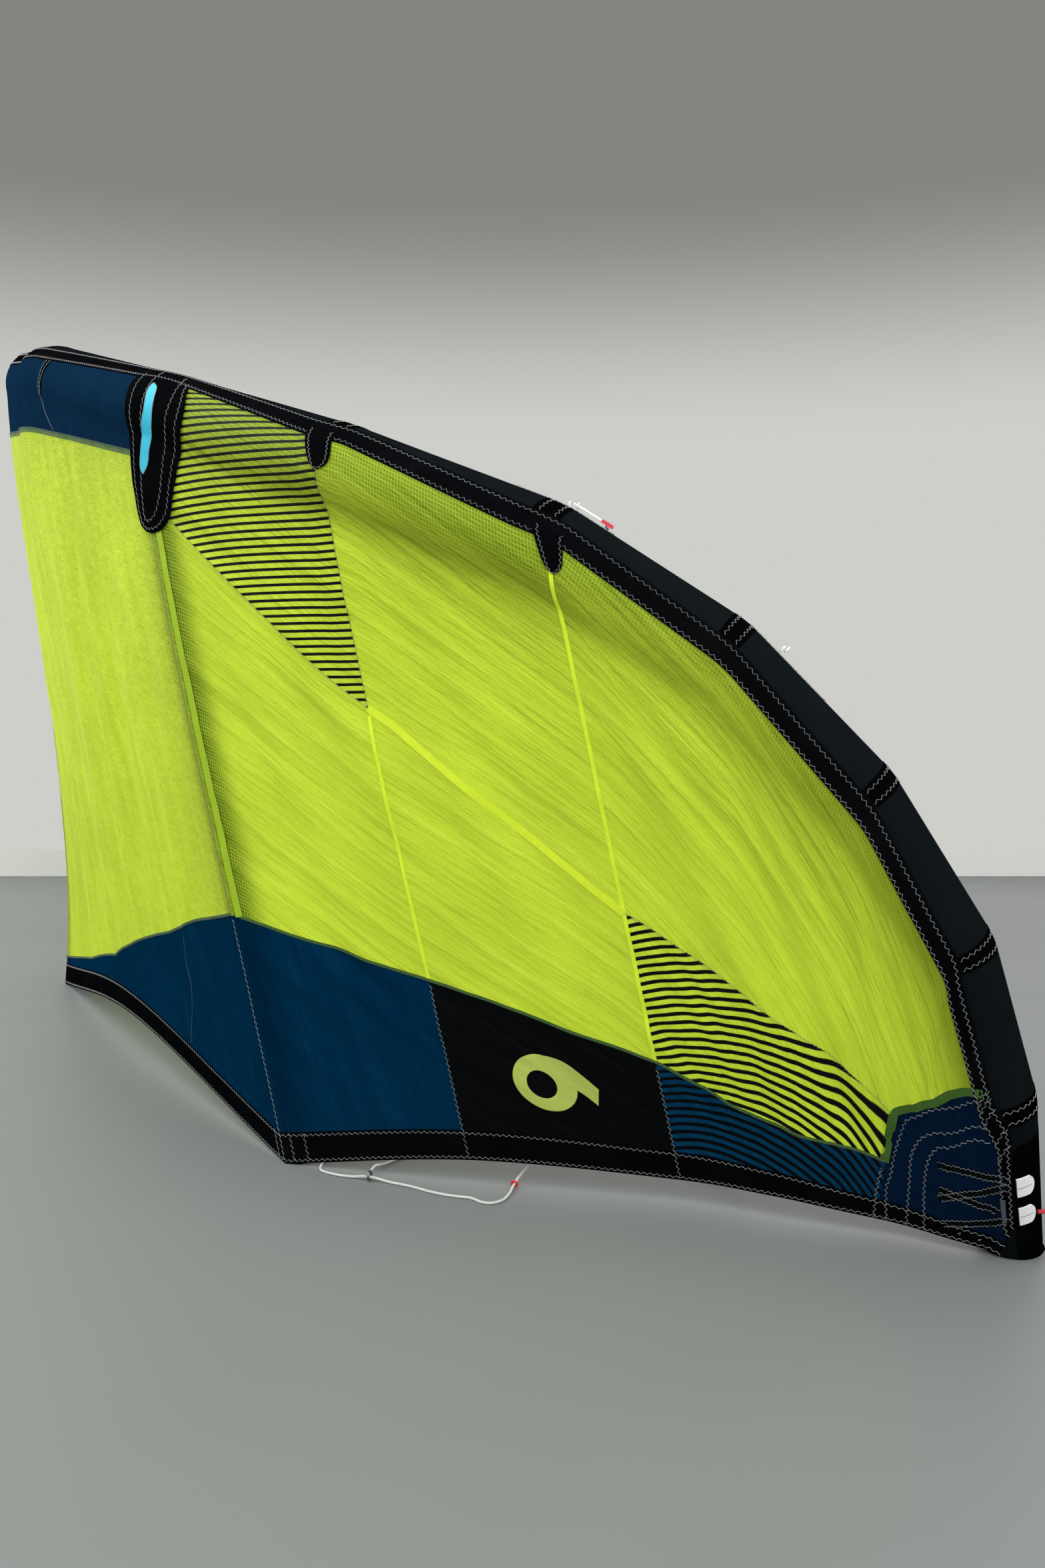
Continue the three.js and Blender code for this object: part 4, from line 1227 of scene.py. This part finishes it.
def add_attachments():
    """Stitched patches on the top of the tube, with small loops of cord."""
    sewing, white, red = Batch(), Batch(), Batch()
    for start, stop in PATCHES:
        for angle in PATCH_ANGLES:
            zigzag(sewing, *on_tube(np.linspace(start, stop, 40), angle, 1.4), swing=5, period=10)
        for end in (start, stop):
            zigzag(sewing, *on_tube(end, np.linspace(*PATCH_ANGLES, 12), 1.4), swing=5, period=10)
    sewing.pair("sewing_attachments", "thread")
    for station, rise in LOOPS:
        loop(white, station, LOOP_ANGLE, rise, 5.0, 1.6)
    strand(white, *on_tube(np.linspace(4.03, 4.17, 12), LOOP_ANGLE, 8.0), 1.6)
    white.pair("attachment_loops", "webbing")
    strand(red, *on_tube(np.linspace(4.17, 4.235, 8), LOOP_ANGLE, 6.0), 4.0)
    red.pair("attachment_red", "red_cord")


add_joint_bands()
add_edge_sewing()
add_attachments()


# Covers over the struts' heads

COVER = 2.0
COVER_LIFT = 3.2
CENTRE_COVER_LIFT = 3.7
CENTRE_COVER_HALF = 0.13
CENTRE_COVER_END = 0.2
BADGE_LIFT = 4.7
COVER_LEFT = (
    (1.925, 0.026), (1.94, 0.06), (1.943, 0.106), (1.937, 0.154), (1.937, 0.19), (1.95, 0.214),
    (1.974, 0.222),
)
COVER_RIGHT = (
    (2.235, 0.03), (2.28, 0.06), (2.242, 0.1), (2.148, 0.162), (2.1, 0.198), (2.05, 0.216), (2.0, 0.223),
)
BADGE_LEFT = (
    (2.045, 0.038), (2.040, 0.046), (2.045, 0.07), (2.024, 0.096), (2.006, 0.12), (1.992, 0.142),
    (2.003, 0.152),
)
BADGE_RIGHT = (
    (2.05, 0.038), (2.078, 0.046), (2.086, 0.07), (2.066, 0.1), (2.046, 0.12), (2.028, 0.14), (2.004, 0.152),
)


def add_covers():
    cover, badge, sewing = Batch(), Batch(), Batch()
    add_leaf(cover, COVER_LEFT, COVER_RIGHT, COVER_LIFT, COVER, rows=60, columns=21)
    cover.pair("cover_side", "band", ["strut_cover_side"])
    across = np.linspace(-CENTRE_COVER_HALF, CENTRE_COVER_HALF, 15)
    s, t = np.meshgrid(across, np.linspace(0.0, CENTRE_COVER_END, 40))
    points, faces, uv = closed_sheet(s, t, CENTRE_COVER_LIFT, COVER)
    mesh_piece("cover_centre", points, faces, "band", ["strut_cover_centre"], uv=uv)
    add_leaf(badge, BADGE_LEFT, BADGE_RIGHT, BADGE_LIFT, 0.8, rows=30)
    badge.pair("cover_badge", "badge")
    for share in (0.09, 0.27):
        edge = inset(COVER_LEFT, COVER_RIGHT, share) - (0, 0.05 * share)
        zigzag(sewing, *on_cloth(edge, 4.25), swing=4.5)
    outline = np.vstack([path(BADGE_LEFT), path(BADGE_RIGHT)[::-1]])
    strand(sewing, *on_cloth(outline, 5.1, 3.0))
    sewing.pair("sewing_covers", "thread")


add_covers()


# Tabs below the strip, where panels meet it

TABS = (
    (((1.205, 0.028), (1.208, 0.05), (1.212, 0.076)), ((1.245, 0.028), (1.236, 0.05), (1.238, 0.078))),
    (
        ((2.935, 0.02), (2.955, 0.042), (2.975, 0.062), (2.99, 0.07)),
        ((3.04, 0.02), (3.05, 0.045), (3.04, 0.062), (3.005, 0.072)),
    ),
    (
        ((3.985, 0.02), (4.005, 0.045), (4.025, 0.066), (4.05, 0.075)),
        ((4.115, 0.02), (4.112, 0.045), (4.1, 0.062), (4.06, 0.076)),
    ),
)


def add_tabs():
    tabs, sewing = Batch(), Batch()
    for left, right in TABS:
        add_leaf(tabs, left, right, 2.0, 1.0, rows=20)
        zigzag(sewing, *on_cloth(inset(left, right, 0.14), 2.6), swing=3.5, period=9)
    tabs.pair("seam_tabs", "band")
    sewing.pair("sewing_tabs", "thread")


add_tabs()


# Webbing tongues at the end of the tube, and the black patch under them

TONGUE_ANGLES = (5.0, 36.0)
TONGUE_RISE = 0.5
TONGUE_THICK = 3.0
TONGUES = {"upper": (8.385, 8.505), "lower": (8.585, 8.7)}
BOOT_TOP = 8.17
BOOT_END = 9.05
BOOT_BACK = 150.0


def add_tongues():
    v = np.linspace(-1, 1, 17)[:, None]
    first, last = TONGUE_ANGLES
    top = TONGUE_RISE + TONGUE_THICK
    reach = last - 12.0 * (1 - np.sqrt(1 - (0.97 * v) ** 2))
    degrees = mix(first, reach, np.linspace(0, 1, 30)[None])
    sewing = Batch()
    for name, (low, high) in TONGUES.items():
        tongue = Batch()
        tube_sheet(tongue, mix(low, high, (v + 1) / 2), degrees, TONGUE_RISE, top)
        tongue.pair(f"tongue_tape_{name}", "webbing", [f"tongue_{name}"])
        row = on_tube((low + high) / 2, np.linspace(first + 1, last - 6, 24), top)
        zigzag(sewing, *row, swing=1.5, period=4, radius=0.4)
    sewing.pair("sewing_tongues", "dark_thread")


def add_boot():
    """Black cloth round the tube's end, its top corners rounded."""
    u = np.linspace(0, 1, 50)[None]
    corner = 0.05 * (np.clip(1 - u / 0.08, 0, 1) ** 2 + np.clip((u - 0.92) / 0.08, 0, 1) ** 2)
    s = mix(BOOT_TOP + corner, BOOT_END, np.linspace(0, 1, 60)[:, None])
    seam = between(SEAM_ANGLE, np.minimum(s, STATIONS))
    boot = Batch()
    tube_sheet(boot, s, mix(seam + 2, BOOT_BACK, u), 0.12, 0.42)
    boot.pair("tube_boot", "boot")


add_tongues()
add_boot()


# Seams and tapes of the canopy

NUMERAL_CENTRE = (3.447, 0.867)
NUMERAL_SIZE = (0.145, 0.043)
HOLE_CENTRE = (3.43, 0.87)
HOLE_SIZE = (0.068, 0.021)
NUMERAL_TAIL = (
    ((3.44, 0.8245), (3.50, 0.8245), (3.57, 0.830), (3.643, 0.846), (3.701, 0.862)),
    ((3.50, 0.856), (3.56, 0.866), (3.621, 0.876), (3.679, 0.89)),
)


def add_numeral():
    """A plain 9 that lies on its side, printed on the black panel."""
    print_on = Batch()
    turn = np.linspace(0, 2 * math.pi, 49)[:, None]
    spoke = np.concatenate([np.cos(turn), np.sin(turn)], -1)
    outer = np.array(NUMERAL_CENTRE) + spoke * NUMERAL_SIZE
    inner = np.array(HOLE_CENTRE) + spoke * HOLE_SIZE
    grid = mix(outer[:, None], inner[:, None], np.linspace(0, 1, 7)[None, :, None])
    print_on.add(*closed_sheet(grid[..., 0], grid[..., 1], 0.9, 0.3))
    add_leaf(print_on, *NUMERAL_TAIL, 1.2, 0.3, rows=16, columns=7)
    print_on.pair("numeral", "numeral")


def add_tapes():
    """Bands along the seams: each a path, its lift and its width."""
    meets = meet_tip(blue_outer_line)
    tip_edge = [(tip_station(t) - 0.03, t) for t in np.linspace(0.05, 0.8, 40)]
    tapes = (
        ("tape_seams", "tape", (
            ([(SEAM_ONE, 0.38), (SEAM_ONE, 0.735)], 0.7, 7),
            ([(SEAM_TWO, 0.065), (SEAM_TWO, 0.795)], 0.7, 7),
            (line_path(diagonal, SEAM_ONE, SEAM_TWO), 0.9, 14),
        )),
        ("tape_ridge", "ridge", (([(2.032, 0.215), (2.038, 0.69)], 1.6, 17),)),
        ("tape_overlaps", "overlap", (
            (line_path(navy_line, 0.0, 1.94, -4), 0.4, 11),
            (line_path(blue_inner_line, 0.0, 1.99, -3), 0.4, 6),
            (line_path(blue_outer_line, 2.01, SEAM_TWO, -3), 0.4, 6),
            (line_path(blue_outer_line, SEAM_TWO, meets, -3), 0.4, 6),
            (tip_edge, 0.5, 15),
        )),
    )
    for name, paint, bands in tapes:
        batch = Batch()
        for line, lift, width in bands:
            ribbon(batch, *on_cloth(line, lift), width)
        batch.pair(name, paint)


TIP_ROWS = (
    (
        (7.822, 0.074), (7.517, 0.319), (7.125, 0.499), (6.937, 0.575), (6.828, 0.617), (6.792, 0.667),
        (6.741, 0.752), (6.726, 0.834), (6.69, 0.886), (6.763, 0.998),
    ),
    ((6.581, 0.824), (6.538, 0.92), (6.552, 0.998)),
    (
        (7.96, 0.13), (7.597, 0.411), (7.336, 0.521), (7.147, 0.595), (7.024, 0.661), (6.98, 0.729),
        (7.024, 0.816), (7.118, 0.998),
    ),
    (
        (8.011, 0.182), (7.641, 0.467), (7.423, 0.561), (7.307, 0.629), (7.263, 0.711), (7.307, 0.826),
        (7.437, 0.996),
    ),
)
TIP_STRAPS = (
    ((7.437, 0.647), (7.72, 0.569), (7.96, 0.465), (8.134, 0.341), (8.373, 0.058)),
    ((7.539, 0.749), (7.786, 0.709), (7.989, 0.661), (8.185, 0.587), (8.424, 0.401)),
    ((7.568, 0.796), (7.829, 0.701), (8.018, 0.585), (8.214, 0.395), (8.41, 0.07)),
    ((7.713, 0.92), (7.96, 0.862), (8.178, 0.774), (8.41, 0.595), (8.627, 0.172)),
)
BAR_TACKS = (((8.0, 0.926), (8.03, 0.93)), ((8.05, 0.844), (8.08, 0.85)), ((8.32, 0.894), (8.35, 0.9)))
TIP_TAB = (
    ((8.388, 0.267), (8.47, 0.31), (8.555, 0.351)),
    ((8.453, 0.16), (8.53, 0.2), (8.606, 0.234)),
)
STRAP_WIDTH = 15.0


def add_tip_sewing():
    sewing, straps, tab = Batch(), Batch(), Batch()
    for row in TIP_ROWS:
        zigzag(sewing, *on_cloth(path(row), 0.9))
    for knots in TIP_STRAPS:
        points, normals = on_cloth(path(knots), 0.9)
        half = aside(points, normals) * STRAP_WIDTH * 0.5
        ribbon(straps, points, normals, STRAP_WIDTH)
        for side in (-0.8, 0.8):
            edge = points + normals * 0.6 + half * side
            zigzag(sewing, edge, normals, swing=3.0, period=8, radius=0.35)
    for tack in BAR_TACKS:
        zigzag(sewing, *on_cloth(tack, 2.2, 2.0), swing=6, period=3)
    straps.pair("tip_straps", "black")
    sewing.pair("sewing_tip", "thread")
    add_leaf(tab, *TIP_TAB, 2.4, 0.8)
    tab.pair("tip_tab", "grey_tab")


FINE_SEAMS = (
    ((1.596, 0.786), (1.567, 0.832), (1.575, 0.864), (1.495, 0.956)),
    ((1.212, 0.076), (1.26, 0.1), (1.313, 0.122)),
)


def add_panel_sewing():
    """Rows along the seams between panels."""
    dark, pale = Batch(), Batch()
    for line, start, stop, down in (
        (blue_inner_line, 0.0, 1.99, -3), (blue_outer_line, 2.01, SEAM_TWO, -3),
        (blue_outer_line, SEAM_TWO, meet_tip(blue_outer_line), -3), (navy_line, 0.0, 1.93, -8),
        (diagonal, SIDE_STRUT, SEAM_ONE, 0), (diagonal, SEAM_TWO, meet_tip(diagonal), 0),
    ):
        zigzag(dark, *on_cloth(line_path(line, start, stop, down), 1.1), swing=3.5, period=8, radius=0.4)
    zigzag(dark, *on_cloth([(SEAM_ONE, 0.075), (SEAM_ONE, 0.37)], 0.5), swing=3.5, period=9, radius=0.45)
    zigzag(dark, *on_cloth([(1.995, 0.225), (1.995, 0.69)], 0.9), swing=3.0, period=9, radius=0.45)
    for s, first in ((SEAM_ONE, 0.745), (SEAM_TWO, 0.81), (2.0, 0.695)):
        zigzag(pale, *on_cloth([(s, first), (s, 0.995)], 1.2), radius=0.45)
    for s in (1.975, 2.055, 2.135):
        zigzag(pale, *on_cloth([(s, 0.962), (s, 0.995)], 1.2), radius=0.5)
    for knots in FINE_SEAMS:
        strand(dark, *on_cloth(path(knots), 0.4), 0.5)
    dark.pair("sewing_panels", "dark_thread")
    pale.pair("sewing_borders", "thread")


add_numeral()
add_tapes()
add_tip_sewing()
add_panel_sewing()


# Stage and light

def stage_material(name, colour, roughness):
    shade = Shade(name)
    cloud = shade.noise(shade.place(), 0.8, 3.0)
    base = shade.blend(cloud, toned(colour, 0.94), toned(colour, 1.06))
    rough = shade.ramp(cloud, 0.3, 0.7, roughness, roughness + 0.1)
    return shade.end(shade.surface(Base_Color=base, Roughness=rough, Specular_IOR_Level=0.4))


FLOOR = (0.160, 0.172, 0.174)
WALL_AHEAD = 5.61
ALCOVE = (-1.9, 1.6, 9.0)
HALL = 14.0
SKIRTING = 0.125
SKIRTING_TONE = (0.7, 0.7, 0.7)


def stage_face(name, corners, colour, roughness):
    mesh = bpy.data.meshes.new(name)
    mesh.from_pydata(corners, [], [tuple(range(len(corners)))])
    mesh.materials.append(stage_material(name + "_paint", colour, roughness))
    thing = bpy.data.objects.new(name, mesh)
    bpy.context.scene.collection.objects.link(thing)
    thing.location.z = -0.0005


def in_hall(ahead, right, z=0.0):
    """A place by its distances ahead and to the right of the camera."""
    yaw = math.radians(CAMERA_YAW)
    x = CAMERA_AT[0] + ahead * math.cos(yaw) + right * math.sin(yaw)
    y = CAMERA_AT[1] + ahead * math.sin(yaw) - right * math.cos(yaw)
    return x, y, z


def add_stage():
    """A grey floor up to the far wall and its skirting, with room behind the kite."""
    left, right, deep = ALCOVE
    outline = (
        (-HALL, -HALL), (WALL_AHEAD, -HALL), (WALL_AHEAD, left), (deep, left),
        (deep, right), (WALL_AHEAD, right), (WALL_AHEAD, HALL), (-HALL, HALL),
    )
    stage_face("floor", [in_hall(*corner) for corner in outline][::-1], FLOOR, 0.45)
    for name, first, last in (("skirting_left", -HALL, left), ("skirting_right", right, HALL)):
        low = [in_hall(WALL_AHEAD, side) for side in (first, last)]
        high = [in_hall(WALL_AHEAD, side, SKIRTING) for side in (last, first)]
        stage_face(name, low + high, SKIRTING_TONE, 0.6)


def add_light(name, location, size, energy, aim=(0.0, 0.0, 0.8)):
    data = bpy.data.lights.new(name, "AREA")
    data.shape = "RECTANGLE"
    data.size, data.size_y = size
    data.energy = energy
    light = bpy.data.objects.new(name, data)
    light.location = location
    direction = np.array(aim) - np.array(location)
    yaw = math.atan2(direction[1], direction[0]) - math.pi / 2
    pitch = math.atan2(math.hypot(direction[0], direction[1]), -direction[2])
    light.rotation_euler = (pitch, 0, yaw)
    bpy.context.scene.collection.objects.link(light)


ROOM_LIGHT = {"Color": (0.66, 0.655, 0.635, 1.0), "Strength": 1.6}
WALL_TONE = (1.0, 0.995, 0.95, 1.0)
WALL_FADE = {"From Min": 0.17, "From Max": 0.35, "To Min": 0.62, "To Max": 0.23}


def add_world():
    """Even light from the room, and the wall's own tone where the camera sees it."""
    world = bpy.data.worlds.new("room")
    world.use_nodes = True
    tree = world.node_tree
    tree.nodes.clear()
    seen = node(tree, "LightPath").outputs["Is Camera Ray"]
    light = node(tree, "Background", ROOM_LIGHT).outputs[0]
    ray = node(tree, "TexCoord").outputs["Generated"]
    height = node(tree, "SeparateXYZ", {0: ray}).outputs[2]
    fade = {"Value": height, **WALL_FADE}
    bright = node(tree, "MapRange", fade, interpolation_type="SMOOTHSTEP").outputs[0]
    wall = node(tree, "Background", {"Color": WALL_TONE, "Strength": bright}).outputs[0]
    mixed = node(tree, "MixShader", {0: seen, 1: light, 2: wall}).outputs[0]
    output = tree.nodes.new("ShaderNodeOutputWorld")
    tree.links.new(mixed, output.inputs[0])
    bpy.context.scene.world = world


add_stage()
add_world()
add_light("ceiling_front", (3.9, 0.6, 3.4), (3.5, 3.5), 115)
add_light("ceiling_left", (0.3, -3.2, 3.8), (4.0, 3.0), 130)
bpy.context.scene.view_settings.view_transform = "Standard"
